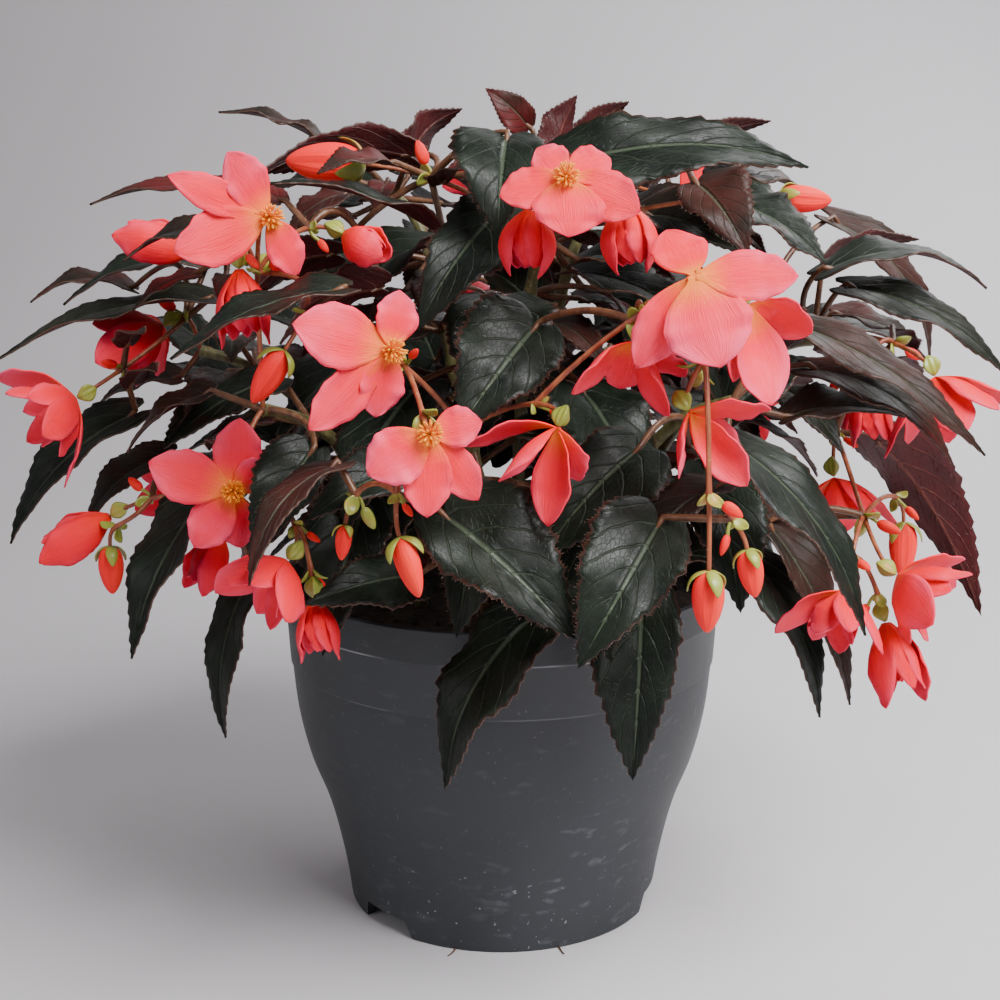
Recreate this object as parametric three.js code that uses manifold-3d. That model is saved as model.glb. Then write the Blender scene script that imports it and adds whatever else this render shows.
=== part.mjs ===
// A potted begonia: a dark plastic nursery pot, its soil, ten leafy stems with toothed,
// lopsided leaves, and the coral blooms and buds that hang from them. Millimetres, +Z up.
// The origin is the middle of the pot's foot, on the ground; the plant's best side faces -Y.

import * as THREE from 'three'
import { mergeVertices } from 'three/addons/utils/BufferGeometryUtils.js'
import Module from 'manifold-3d'

const wasm = await Module()
wasm.setup()

// ---------------------------------------------------------------- driving dimensions, mm
const RIM_RADIUS = 115 // outside of the pot's rim
const RIM_TOP = 177
const BAND_FOOT = 160 // lower edge of the rim's upright band
const STEP_Z = 133 // second, finer step below the band
const FOOT_RADIUS = 81.5
const FLOOR_UNDER = 12
const FLOOR_Z = 15 // top of the pot's raised floor
const WALL = 2.4
const NOTCH_HEIGHT = 10 // the three drain notches in the foot
const NOTCH_ANGLE = 23 // degrees of the foot's circle
const NOTCH_TURNS = [-47, 75, 195] // degrees from the front
const DRAIN_RADIUS = 5
const DRAIN_RING = 45
const POT_SIDES = 24
const SOIL_TOP = 167
const SOIL_SIDES = 16
const GAP = 0.4 // between pieces that touch
const STEM_ROOM = 0.6 // between a stem's root and the soil, at its corners

const ROOT_Z = 145 // how deep the stems stand
const STEM_RADIUS = 3.6
const STEM_SIDES = 6
const STEM_STEPS = 6 // straight lengths of a stem; leaves and stalks part where they meet
const PETIOLE_RADIUS = 1.4
const SHORT_PETIOLE = 34 // one shorter than this is straight
const STALK_RADIUS = 1.2
const STALK_STEPS = 3 // straight lengths of a bloom's stalk
const STALK_FORK = 2 // the end of the length where another stalk may part from it
const STALK_END = 0.7 // between the end of a stalk and its bloom
const STALK_HOOK = 14 // a stalk comes from straight behind its bloom, this far
const BLOOM_REACH = 7 // within this of a bloom's middle its own stalk may come
const BLADE = 1.0 // a leaf or tepal, measured along the way that it faces
const TEPAL_CLEAR = 0.9 // a tepal's edge stays this far from the plane between it and the next
const KNOT = 3.5 // how far out from a bloom's middle its tepals part
const NECK = 1.2 // half the width of a leaf's petiole where it meets the blade
const STUB = 4 // how far the petiole runs on behind the blade before it bends
const TUFT_RADIUS = 4.6 // an open bloom's tuft of stamens
const TUFT_FLAT = 0.9 // how far in from its corners a tuft meets its bloom, as a share of its radius
const LARGE_TEPAL = 40 // a bloom with one longer than this has rounder tepals
const LARGE_LEAF = 37 // wider ones have three teeth a side, small ones have one
const SMALL_LEAF = 23
const LOBE = 0.12 // how far a leaf's lobes reach back past its joint, of its length
const EYE = new THREE.Vector3(0, -842, 403) // someone in front, looking at the plant

const V = (x, y, z) => new THREE.Vector3(x, y, z)
const radians = THREE.MathUtils.degToRad

// ---------------------------------------------------------------- what grows where, mm
// Ways that a leaf's upper side can face.
const UP = [0, -0.2, 1]
const FRONT = [0, -1, 0.4]
const SLANT = [0, -0.7, 0.7]
const LEFT = [-0.6, -0.6, 0.5]
const RIGHT = [0.6, -0.6, 0.5]
const AWAY = [0, 0.7, 0.7] // its wine-red underside shows
const BACK = [0, 1, 0.6]

// Each stem: turn in degrees from +X, reach of its tip from the middle, height of its tip.
const STEMS = [
  { turn: -98, reach: 122, height: 272 },
  { turn: -40, reach: 138, height: 280 },
  { turn: 4, reach: 160, height: 296 },
  { turn: 62, reach: 130, height: 276 },
  { turn: 118, reach: 130, height: 280 },
  { turn: 176, reach: 156, height: 290 },
  { turn: -142, reach: 140, height: 276 },
  { turn: -70, reach: 60, height: 352 },
  { turn: 30, reach: 60, height: 362 },
  { turn: 158, reach: 60, height: 368 },
]
const OUTER_REACH = 100 // a stem that reaches further leans out over the rim

// Leaves of the near side: joint with the petiole, tip, width, the way the upper side faces.
const LEAVES = [
  // over the rim in front
  { base: [-24, -165, 244], tip: [30, -188, 197], width: 48, face: SLANT },
  { base: [66, -160, 239], tip: [31, -192, 186], width: 42, face: FRONT },
  { base: [15, -128, 190], tip: [-25, -150, 116], width: 46, face: LEFT },
  { base: [63, -126, 200], tip: [58, -148, 119], width: 40, face: FRONT },
  { base: [57, -146, 268], tip: [16, -168, 226], width: 42, face: SLANT },
  { base: [90, -164, 256], tip: [54, -190, 224], width: 24, face: LEFT },
  { base: [-40, -128, 208], tip: [-84, -158, 203], width: 30, face: SLANT },
  { base: [-62, -104, 236], tip: [-78, -140, 178], width: 40, face: SLANT },
  { base: [-8, -112, 236], tip: [-20, -150, 186], width: 38, face: SLANT },
  { base: [36, -108, 226], tip: [48, -142, 172], width: 34, face: SLANT },
  { base: [92, -112, 252], tip: [104, -146, 196], width: 38, face: SLANT },
  // the widest on either side
  { base: [180, -60, 256], tip: [238, -50, 166], width: 36, face: AWAY },
  { base: [-73, -110, 333], tip: [-143, -130, 305], width: 34, face: UP },
  { base: [-182, -40, 265], tip: [-239, -58, 205], width: 32, face: LEFT },
  { base: [150, -70, 240], tip: [186, -66, 184], width: 30, face: AWAY },
  // the middle of the front
  { base: [14, -110, 316], tip: [-19, -140, 276], width: 44, face: FRONT },
  { base: [-1, -90, 366], tip: [-37, -130, 317], width: 38, face: SLANT },
  { base: [2, -95, 398], tip: [-2, -128, 358], width: 40, face: SLANT },
  { base: [-30, -80, 357], tip: [-101, -115, 379], width: 34, face: UP },
  { base: [-37, -150, 262], tip: [-80, -178, 245], width: 28, face: SLANT },
  { base: [-73, -146, 261], tip: [-104, -184, 219], width: 24, face: LEFT },
  { base: [-85, -120, 262], tip: [-109, -142, 222], width: 30, face: FRONT },
  { base: [-55, -115, 334], tip: [-93, -148, 314], width: 28, face: AWAY },
  { base: [-77, -85, 347], tip: [-113, -108, 327], width: 26, face: AWAY },
  { base: [-108, -68, 287], tip: [-156, -90, 258], width: 32, face: LEFT },
  { base: [102, -148, 269], tip: [154, -166, 192], width: 34, face: RIGHT },
  { base: [131, -128, 248], tip: [107, -146, 286], width: 28, face: FRONT },
  // low on the left
  { base: [-139, -90, 234], tip: [-169, -118, 166], width: 34, face: LEFT },
  { base: [-122, -74, 190], tip: [-132, -92, 118], width: 28, face: LEFT },
  { base: [-170, -16, 240], tip: [-212, -20, 202], width: 24, face: LEFT },
  // high on the left
  { base: [-95, 20, 398], tip: [-142, 12, 410], width: 26, face: UP },
  { base: [-46, -30, 390], tip: [-113, -68, 380], width: 32, face: AWAY },
  { base: [-45, 0, 388], tip: [-20, 18, 412], width: 28, face: AWAY },
  { base: [-134, 0, 371], tip: [-206, 0, 365], width: 22, face: UP },
  { base: [-148, -20, 338], tip: [-214, -30, 318], width: 34, face: UP },
  { base: [-194, 20, 322], tip: [-242, 12, 315], width: 22, face: UP },
  { base: [-149, -10, 319], tip: [-250, -28, 290], width: 32, face: UP },
  // the crown
  { base: [27, -60, 386], tip: [145, -40, 384], width: 42, face: SLANT },
  { base: [12, -20, 404], tip: [-8, -26, 421], width: 18, face: FRONT },
  { base: [26, -34, 392], tip: [36, -22, 418], width: 20, face: AWAY },
  { base: [38, -20, 393], tip: [62, -10, 415], width: 24, face: AWAY },
  { base: [84, 0, 388], tip: [46, 0, 398], width: 24, face: AWAY },
  { base: [97, 30, 392], tip: [139, 38, 406], width: 20, face: AWAY },
  { base: [90, 30, 388], tip: [128, 22, 384], width: 30, face: AWAY },
  // high on the right
  { base: [87, -90, 378], tip: [107, -118, 348], width: 30, face: FRONT },
  { base: [107, -88, 369], tip: [142, -108, 344], width: 38, face: RIGHT },
  { base: [69, -60, 363], tip: [110, -80, 346], width: 30, face: SLANT },
  { base: [160, -30, 336], tip: [239, -20, 325], width: 34, face: UP },
  { base: [166, 4, 338], tip: [213, 14, 347], width: 22, face: AWAY },
  { base: [173, -24, 326], tip: [246, -40, 284], width: 28, face: RIGHT },
  { base: [176, 38, 354], tip: [229, 42, 280], width: 26, face: RIGHT },
  { base: [135, -90, 315], tip: [215, -116, 260], width: 28, face: RIGHT },
  { base: [148, 10, 301], tip: [226, 20, 281], width: 32, face: UP },
  // low on the right
  { base: [150, -54, 290], tip: [214, -70, 246], width: 26, face: RIGHT },
  { base: [121, -118, 227], tip: [157, -130, 148], width: 26, face: RIGHT },
  { base: [114, -86, 208], tip: [148, -108, 134], width: 32, face: RIGHT },
  // the furthest back
  { base: [24, 150, 262], tip: [36, 200, 206], width: 38, face: BACK },
  { base: [-80, 150, 268], tip: [-120, 206, 226], width: 38, face: BACK },
  { base: [110, 146, 262], tip: [150, 198, 214], width: 38, face: BACK },
]

// Blooms of the near side that face the viewer: the middle, the way the bloom faces, and for
// each tepal how far its tip lies from the middle, and its width.
const OPEN_BLOOMS = [
  { name: 'bloom_left_top', at: [-99, -130, 366], face: [0.6, -0.8, 0], stamens: true,
    tips: [[-34, -30, 18, 13], [-14, -13, 27, 16], [-33, -30, -13, 20], [13, 6, -25, 15]] },
  { name: 'bloom_middle_left', at: [-46, -166, 314], face: [0.6, -0.8, 0], stamens: true,
    tips: [[-35, -22, 13, 22], [5, 4, 24, 17], [-31, -20, -30, 17], [-5, -2, -28, 18]] },
  { name: 'bloom_middle', at: [-29, -192, 284], face: [0.1, -0.9, 0.2], stamens: true,
    tips: [[-24, -8, -15, 20], [-1, -6, -33, 17], [20, 2, -28, 14], [21, 4, 4, 14]] },
  { name: 'bloom_left_low', at: [-120, -120, 245], face: [0.2, -0.95, 0.1], stamens: true,
    tips: [[-35, -8, 14, 20], [4, 4, 32, 18], [17, 5, 12, 14], [3, 0, -27, 16], [-17, -6, -25, 17]] },
  { name: 'bloom_front_bell', at: [22, -178, 284], face: [-0.4, -0.5, -0.75],
    tips: [[-34, -6, -8, 15], [-22, -16, -20, 18], [-5, -10, -38, 20], [8, 2, -24, 18]] },
  { name: 'bloom_top', at: [26, -150, 383], face: [0, -0.8, 0.3], stamens: true,
    tips: [[-27, -6, -7, 16], [31, -2, -13, 18], [1, -12, -23, 25], [19, 8, 8, 15], [-12, 6, 12, 14]] },
  { name: 'bloom_right', at: [76, -184, 346], face: [0.1, -0.85, 0.4],
    tips: [[10, -14, -34, 30], [-23, -6, -36, 17], [-10, 14, 18, 20], [42, 4, 0, 18]] },
  { name: 'bloom_right_back', at: [103, -150, 331], face: [0.4, -0.6, -0.6],
    tips: [[24, -2, -12, 20], [10, -12, -38, 24], [-6, -10, -30, 18], [10, 6, -10, 14]] },
  { name: 'bloom_right_bell', at: [53, -172, 318], face: [-0.1, -0.5, -0.85],
    tips: [[-22, -10, -20, 20], [12, -14, -28, 22], [22, 4, -16, 18], [-4, 12, -22, 16]] },
  { name: 'bloom_right_low', at: [76, -176, 290], face: [0.5, -0.5, -0.7],
    tips: [[33, -2, 0, 16], [22, -12, -28, 20], [-4, -14, -24, 18], [20, 10, -22, 16]] },
]

// Hanging blooms: how far they are open in degrees, and their tepals' length and number.
const HANGING_BLOOMS = [
  { name: 'bloom_left_bell', at: [-115, -112, 342], face: [0.1, -0.3, -1],
    open: 26, size: 34, tepals: 4 },
  { name: 'bloom_left_dark', at: [-147, -40, 345], face: [-0.9, 0.1, 0.2],
    open: 26, size: 38, tepals: 4 },
  { name: 'bloom_left_back', at: [-170, -12, 306], face: [-0.8, 0.1, -0.5],
    open: 46, size: 40, tepals: 4 },
  { name: 'bloom_left_edge', at: [-203, -60, 277], face: [-0.8, -0.4, -0.4],
    open: 50, size: 40, tepals: 5 },
  { name: 'bloom_left_under', at: [-132, -84, 216], face: [-0.4, -0.3, -0.8],
    open: 34, size: 30, tepals: 4 },
  { name: 'bloom_edge_low', at: [-190, -60, 219], face: [-0.85, -0.1, -0.5],
    open: 28, size: 38, tepals: 4 },
  { name: 'bloom_low_left', at: [-93, -150, 221], face: [-0.6, -0.5, -0.7],
    open: 44, size: 36, tepals: 4 },
  { name: 'bloom_low_bell', at: [-80, -160, 206], face: [0.1, -0.3, -1],
    open: 32, size: 27, tepals: 4 },
  { name: 'bloom_top_left_bell', at: [12, -128, 368], face: [-0.1, -0.2, -1],
    open: 30, size: 28, tepals: 4 },
  { name: 'bloom_top_right_bell', at: [52, -134, 370], face: [0.1, -0.2, -1],
    open: 30, size: 28, tepals: 4 },
  { name: 'bloom_edge_right', at: [204, -66, 288], face: [0.3, -0.3, -0.9],
    open: 46, size: 42, tepals: 4 },
  { name: 'bloom_right_inner', at: [183, 10, 270], face: [0.1, -0.2, -1],
    open: 32, size: 26, tepals: 4 },
  { name: 'bloom_right_behind', at: [166, -30, 232], face: [0.1, -0.3, -0.9],
    open: 42, size: 38, tepals: 4 },
  { name: 'bloom_corner_top', at: [178, -120, 206], face: [0.7, -0.3, -0.4],
    open: 50, size: 38, tepals: 4 },
  { name: 'bloom_corner_left', at: [153, -124, 200], face: [-0.3, -0.4, -0.8],
    open: 42, size: 34, tepals: 4 },
  { name: 'bloom_corner_low', at: [172, -128, 186], face: [0.2, -0.4, -0.9],
    open: 38, size: 38, tepals: 4 },
  { name: 'bloom_right_narrow', at: [174, -62, 283], face: [0.1, 0, -1],
    open: 18, size: 30, tepals: 4 },
  { name: 'bloom_pod', at: [-69, -106, 357], face: [0.8, -0.3, -0.4],
    open: 28, size: 22, tepals: 4 },
]

// Closed buds: the end at the stalk, the way they point, their length.
const BUDS = [
  { name: 'bud_left_top', at: [-63, -60, 386], face: [-1, 0, 0.05], size: 37 },
  { name: 'bud_edge_low', at: [-189, -66, 206], face: [0, 0, -1], size: 24 },
  { name: 'bud_left', at: [-92, -144, 311], face: [-0.5, -0.2, -0.8], size: 26 },
  { name: 'bud_front', at: [-42, -185, 240], face: [0.3, -0.2, -0.9], size: 26 },
  { name: 'bud_front_small', at: [-66, -164, 240], face: [-0.1, -0.3, -0.9], size: 15 },
  { name: 'bud_top_right', at: [128, -60, 371], face: [1, 0, -0.05], size: 25 },
  { name: 'bud_front_right', at: [83, -197, 229], face: [0, 0, -1], size: 26 },
  { name: 'bud_right_low', at: [101, -178, 233], face: [0.2, 0, -1], size: 21 },
  { name: 'bud_right_red', at: [195, -58, 216], face: [0, -0.1, -1], size: 27 },
]

// What stands on the far side is the near side's growth, turned round the pot.
const FAR_TURN = 180
const FAR_SWAY = 10 // degrees either way
const FAR_LIFT = 8 // mm either way
const FAR_FROM = -70 // leaves that stand in front of this are repeated behind
const FAR_WIDTH = 42 // if they are at least this wide
const FAR_BLOOMS = [
  'bloom_left_top', 'bloom_left_low', 'bloom_top', 'bloom_right_bell', 'bloom_corner_top', 'bud_front',
]

// Rounds of broad leaves that hang one above the other and fill the inside.
const ROUNDS = [
  { count: 5, reach: 40, height: 348, fall: 42 },
  { count: 6, reach: 62, height: 312, fall: 52 },
  { count: 7, reach: 80, height: 272, fall: 58 },
  { count: 7, reach: 90, height: 236, fall: 58 },
  { count: 6, reach: 60, height: 216, fall: 32 },
]
const ROUND_LENGTH = 80
const ROUND_WIDTH = 50

// ---------------------------------------------------------------- a seeded draw
let seed = 20117
function draw(low, high) {
  seed = (seed * 48271) % 2147483647
  return low + ((high - low) * seed) / 2147483647
}

// ---------------------------------------------------------------- solids
// A closed mesh as a solid.
function solid(geometry) {
  const bare = geometry.clone()
  bare.deleteAttribute('normal')
  bare.deleteAttribute('uv')
  const merged = mergeVertices(bare, 1e-4)
  const vertProperties = new Float32Array(merged.attributes.position.array)
  const triVerts = new Uint32Array(merged.index.array)
  return new wasm.Manifold(new wasm.Mesh({ numProp: 3, vertProperties, triVerts }))
}

function join(solids) {
  return solids.reduce((whole, piece) => whole.add(piece))
}

// The triangles of the shell with the most of them: what fusing seals off inside is filled.
function outerShell(triVerts, vertexCount) {
  const parent = Array.from({ length: vertexCount }, (_, vertex) => vertex)
  const rootOf = (vertex) => {
    while (parent[vertex] !== vertex) vertex = parent[vertex]
    return vertex
  }
  const triangles = []
  for (let start = 0; start < triVerts.length; start += 3) {
    const triangle = [...triVerts.subarray(start, start + 3)]
    triangles.push(triangle)
    const [a, b, c] = triangle.map(rootOf)
    parent[b] = a
    parent[rootOf(c)] = a
  }
  const shells = new Map()
  for (const triangle of triangles) {
    const root = rootOf(triangle[0])
    if (!shells.has(root)) shells.set(root, [])
    shells.get(root).push(triangle)
  }
  const sorted = [...shells.values()].sort((one, other) => other.length - one.length)
  return sorted[0].flat()
}

// A solid back as a named mesh of the scene.
function named(name, body, material) {
  const { vertProperties, triVerts } = body.getMesh()
  const geometry = new THREE.BufferGeometry()
  geometry.setAttribute('position', new THREE.BufferAttribute(vertProperties, 3))
  geometry.setIndex(outerShell(triVerts, vertProperties.length / 3))
  const mesh = new THREE.Mesh(geometry, material)
  mesh.name = name
  return mesh
}

// A round bar along a curve, as a prism with few sides.
function bar(curve, radius, sides, steps) {
  const section = new THREE.Shape()
  for (let side = 0; side < sides; side += 1) {
    const turn = (2 * Math.PI * side) / sides
    const [x, y] = [radius * Math.cos(turn), radius * Math.sin(turn)]
    if (side === 0) section.moveTo(x, y)
    else section.lineTo(x, y)
  }
  section.closePath()
  return solid(new THREE.ExtrudeGeometry(section, { steps, bevelEnabled: false, extrudePath: curve }))
}

// ---------------------------------------------------------------- room between the pieces
// Space in small cells. Each cell knows which piece fills it, so that nothing grows through
// its neighbour: a piece is tried at one place after another until its points are all free.
const CELL = 2.5
const ROOM_LOW = V(-280, -280, 0)
const ROOM_SIZE = [224, 224, 184] // cells
const SHARED = -1
const cells = new Int16Array(ROOM_SIZE[0] * ROOM_SIZE[1] * ROOM_SIZE[2])

function cellOf(point, dx = 0, dy = 0, dz = 0) {
  const i = Math.floor((point.x - ROOM_LOW.x) / CELL) + dx
  const j = Math.floor((point.y - ROOM_LOW.y) / CELL) + dy
  const k = Math.floor((point.z - ROOM_LOW.z) / CELL) + dz
  return (i * ROOM_SIZE[1] + j) * ROOM_SIZE[2] + k
}

function isFree(points, friends = []) {
  return points.every((point) => {
    const owner = cells[cellOf(point)]
    return owner === 0 || friends.includes(owner)
  })
}

function fill(points, owner) {
  for (const dx of [-1, 0, 1]) {
    for (const dy of [-1, 0, 1]) {
      for (const dz of [-1, 0, 1]) {
        for (const point of points) {
          const cell = cellOf(point, dx, dy, dz)
          cells[cell] = cells[cell] === 0 || cells[cell] === owner ? owner : SHARED
        }
      }
    }
  }
}

let lastOwner = 0
function newOwner() {
  lastOwner += 1
  return lastOwner
}

// Points along a curve, and round it where it is thick.
function pointsAlong(curve, length, radius = 0) {
  const points = []
  const steps = Math.ceil(length / 2)
  for (let step = 0; step <= steps; step += 1) {
    const middle = curve.getPoint(step / steps)
    points.push(middle)
    if (radius > 2) {
      for (const [x, y, z] of [[1, 0, 0], [-1, 0, 0], [0, 1, 0], [0, -1, 0], [0, 0, 1], [0, 0, -1]]) {
        points.push(middle.clone().add(V(x, y, z).multiplyScalar(radius)))
      }
    }
  }
  return points
}

// ---------------------------------------------------------------- blades: leaves and tepals
// A blade is one curved surface. Along it u runs from its joint to its tip, and w is how far
// out a point lies on either side, as a share of half the blade's width.
function bladeFrame({ base, tip, face, width, arch = 0.1, cup = 0.2, ripple = 0, lean = 0 }) {
  const chord = tip.clone().sub(base)
  const length = chord.length()
  const along = chord.divideScalar(length)
  const up = face.clone().sub(along.clone().multiplyScalar(face.dot(along)))
  up.divideScalar(up.length())
  const across = along.clone().cross(up)
  return { base, along, up, across, length, half: width / 2, arch, cup, ripple, lean }
}

function bladePoint(frame, u, w) {
  const side = w < 0 ? -1 : 1
  const out = w * frame.half * (1 + side * frame.lean)
  const wave = frame.ripple * frame.half * w * w * Math.sin(13 * u + side)
  const rise = frame.length * frame.arch * 4 * u * (1 - u) + Math.abs(out) * frame.cup + wave
  return frame.base.clone()
    .add(frame.along.clone().multiplyScalar(frame.length * u))
    .add(frame.across.clone().multiplyScalar(out))
    .add(frame.up.clone().multiplyScalar(rise))
}

// A leaf's half width along its length: round lobes behind the joint, a long drawn-out tip.
const LEAF_ROUND = 0.5
const LEAF_TAPER = 1.15
const LEAF_PEAK = LEAF_ROUND / (LEAF_ROUND + LEAF_TAPER)
function leafWidth(u) {
  const s = (u + LOBE) / (1 + LOBE)
  const swell = (at) => at ** LEAF_ROUND * (1 - at) ** LEAF_TAPER
  return swell(s) / swell(LEAF_PEAK)
}

const teethFor = (width) => (width > LARGE_LEAF ? 3 : width > SMALL_LEAF ? 2 : 1)

// The edge of a leaf as a row of coarse teeth that point forwards.
function leafEdge(teeth) {
  const edge = [[-0.1, 0.36]]
  for (let tooth = 0; tooth < teeth; tooth += 1) {
    const u = 0.03 + (0.8 * tooth) / teeth
    edge.push([u, leafWidth(u) * 1.04])
    edge.push([u + 0.04, leafWidth(u + 0.04) * 0.86])
  }
  return edge
}

// A tepal's half width: narrow at the knot, widest past the middle, a blunt tip.
const TEPAL_ROUND = 1
const TEPAL_TAPER = 0.85
const TEPAL_PEAK = TEPAL_ROUND / (TEPAL_ROUND + TEPAL_TAPER)
function tepalWidth(u) {
  const swell = (at) => at ** TEPAL_ROUND * (1 - at) ** TEPAL_TAPER
  return swell(u) / swell(TEPAL_PEAK)
}

// One side of a blade: triangles between the midrib's points and the edge's.
function sideTriangles(rib, edge) {
  const triangles = []
  let [i, j] = [0, 0]
  while (i < rib.length - 1 || j < edge.length - 1) {
    const ribFirst = j === edge.length - 1 || (i < rib.length - 1 && rib[i + 1].u < edge[j + 1].u)
    if (ribFirst) {
      triangles.push([rib[i].index, rib[i + 1].index, edge[j].index])
      i += 1
    } else {
      triangles.push([rib[i].index, edge[j + 1].index, edge[j].index])
      j += 1
    }
  }
  return triangles.filter(([a, b, c]) => a !== b && b !== c && a !== c)
}

const mirrored = (triangles) => triangles.map(([a, b, c]) => [a, c, b])

// Both faces of a sheet, split alike, and the narrow wall along its rim. The surface's points
// are moved by their lift to the upper face and by as much the other way to the lower one.
function sheetFaces(surface, upper, rim) {
  const count = surface.length
  const lower = mirrored(upper).map((triangle) => triangle.map((index) => index + count))
  const walls = rim.slice(0, -1).flatMap((a, step) => {
    const b = rim[step + 1]
    return [[a, b, a + count], [b, b + count, a + count]]
  })
  const points = [
    ...surface.map(({ point, lift }) => point.clone().add(lift)),
    ...surface.map(({ point, lift }) => point.clone().sub(lift)),
  ]
  return { points, triangles: [...upper, ...lower, ...walls] }
}

function closedMesh(points, triangles) {
  const geometry = new THREE.BufferGeometry().setFromPoints(points)
  geometry.setIndex(mirrored(triangles).flat())
  return solid(geometry)
}

// A leaf in one piece with its petiole: a toothed blade, and from its joint a four-sided
// petiole that runs back along the given points and is turned bend by bend.
function leafSolid(frame, teeth, petiole) {
  const surface = []
  const lift = frame.up.clone().multiplyScalar(BLADE / 2)
  const add = (u, w) => {
    surface.push({ point: bladePoint(frame, u, w), lift })
    return { u, index: surface.length - 1 }
  }
  const neck = NECK / frame.half
  const ribPoints = 2 * frame.half > LARGE_LEAF ? 2 : 1
  const rib = Array.from({ length: ribPoints + 1 }, (_, step) => add((step + 1) / (ribPoints + 1), 0))
  const tip = rib[ribPoints]
  const right = [[0, neck], ...leafEdge(teeth)].map(([u, w]) => add(u, w))
  const left = [[0, neck], ...leafEdge(teeth)].map(([u, w]) => add(u, -w))
  const upper = [
    [rib[0].index, right[0].index, left[0].index],
    ...sideTriangles(rib, [...right, tip]),
    ...mirrored(sideTriangles(rib, [...left, tip])),
  ]
  const rim = [...right, tip, ...left.slice().reverse()].map(({ index }) => index)
  const { points, triangles } = sheetFaces(surface, upper, rim)
  const count = surface.length
  let last = [left[0].index, right[0].index, right[0].index + count, left[0].index + count]
  const wide = frame.across.clone()
  const high = frame.up.clone()
  let heading = frame.along.clone().negate()
  petiole.forEach((middle, step) => {
    const before = step ? petiole[step - 1] : frame.base
    const after = petiole[Math.min(step + 1, petiole.length - 1)]
    const next = after.clone().sub(before).normalize()
    const bend = new THREE.Quaternion().setFromUnitVectors(heading, next)
    wide.applyQuaternion(bend)
    high.applyQuaternion(bend)
    heading = next
    const corners = [[-1, 1], [1, 1], [1, -1], [-1, -1]].map(([x, y]) => {
      points.push(middle.clone().addScaledVector(wide, x * NECK).addScaledVector(high, y * PETIOLE_RADIUS))
      return points.length - 1
    })
    for (let k = 0; k < 4; k += 1) {
      const [a, b] = [last[k], last[(k + 1) % 4]]
      const [d, c] = [corners[k], corners[(k + 1) % 4]]
      triangles.push([a, b, c], [a, c, d])
    }
    last = corners
  })
  triangles.push([last[0], last[1], last[2]], [last[0], last[2], last[3]])
  return closedMesh(points, triangles)
}

// Where two neighbouring tepals part, and the upright plane between them. Turns are measured
// round the way that the bloom faces, from its level direction.
function cleft(before, after, { at, face, level, upright }) {
  const gap = (after.turn - before.turn + 2 * Math.PI) % (2 * Math.PI)
  const turn = before.turn + gap / 2
  const outwards = level.clone().multiplyScalar(Math.cos(turn)).addScaledVector(upright, Math.sin(turn))
  const normal = upright.clone().multiplyScalar(Math.cos(turn)).addScaledVector(level, -Math.sin(turn))
  let rise = (face.dot(before.along) + face.dot(after.along)) / 2
  if (rise > 0.5) {
    // between the flat roots of two tepals that lean together, the sheet lies further out
    const slope = Math.sqrt(1 - rise * rise) / rise / Math.max(0.5, Math.cos(gap / 2))
    rise = 1 / Math.sqrt(1 + slope * slope)
  }
  const way = outwards.multiplyScalar(Math.sqrt(1 - rise * rise)).addScaledVector(face, rise)
  return {
    point: at.clone().addScaledVector(way, KNOT),
    up: before.up.clone().add(after.up).normalize(),
    normal,
  }
}

// A point on a tepal's edge, kept clear of the plane towards its neighbour, and inside the
// line from the bloom's middle through the place where the two part.
function tepalSide(frame, u, sign, { point: parting, normal }, at) {
  const start = parting.clone().sub(at)
  const ahead = start.dot(frame.along)
  const slope = ahead > 0 ? Math.abs(start.dot(frame.across)) / ahead : Infinity
  const most = (slope * 0.85 * u * frame.length) / frame.half
  const w = sign * Math.min(tepalWidth(u), most)
  const clear = (point) => point.sub(at).dot(normal) * sign
  const edge = clear(bladePoint(frame, u, w))
  const middle = clear(bladePoint(frame, u, 0))
  if (edge >= TEPAL_CLEAR) return bladePoint(frame, u, w)
  const share = Math.max(0.2, (middle - TEPAL_CLEAR) / (middle - edge))
  return bladePoint(frame, u, w * share)
}

// A bloom's tepals in one piece, parting from each other just outside the bloom's middle.
function corolla(bloom, edge) {
  const { frames, at, face } = bloom
  const surface = []
  const add = (point, up, u) => {
    surface.push({ point, lift: up.clone().multiplyScalar(BLADE / 2) })
    return { u, index: surface.length - 1 }
  }
  const middle = add(at.clone(), face, 0)
  const clefts = frames.map((frame, tepal) => {
    const last = frames[(tepal + frames.length - 1) % frames.length]
    const between = cleft(last, frame, bloom)
    return { ...between, ...add(between.point, between.up, 0) }
  })
  const upper = []
  const rim = []
  frames.forEach((frame, tepal) => {
    const along = (u) => add(bladePoint(frame, u, 0), frame.up, u)
    const rib = [middle, along(0.5), along(1)]
    const [before, after] = [clefts[tepal], clefts[(tepal + 1) % frames.length]]
    const side = (sign, between) =>
      edge.map((u) => add(tepalSide(frame, u, sign, between, at), frame.up, u))
    const right = [before, ...side(1, before), rib[2]]
    const left = [after, ...side(-1, after), rib[2]]
    upper.push(...sideTriangles(rib, right), ...mirrored(sideTriangles(rib, left)))
    rim.push(...right.map(({ index }) => index), ...left.slice(1, -1).reverse().map(({ index }) => index))
  })
  rim.push(rim[0])
  const { points, triangles } = sheetFaces(surface, upper, rim)
  return closedMesh(points, triangles)
}

// Points all over a blade, to test and fill the room that it takes.
function bladePoints(frame, widthAt, from) {
  const points = []
  const rows = Math.ceil((frame.length * (1 - from)) / 2.2)
  const columns = Math.max(2, Math.ceil((frame.half * 2) / 2.2))
  for (let row = 0; row <= rows; row += 1) {
    const u = from + ((1 - from) * row) / rows
    for (let column = 0; column <= columns; column += 1) {
      const w = widthAt(u) * ((2 * column) / columns - 1)
      points.push(bladePoint(frame, u, w))
    }
  }
  return points
}

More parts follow.
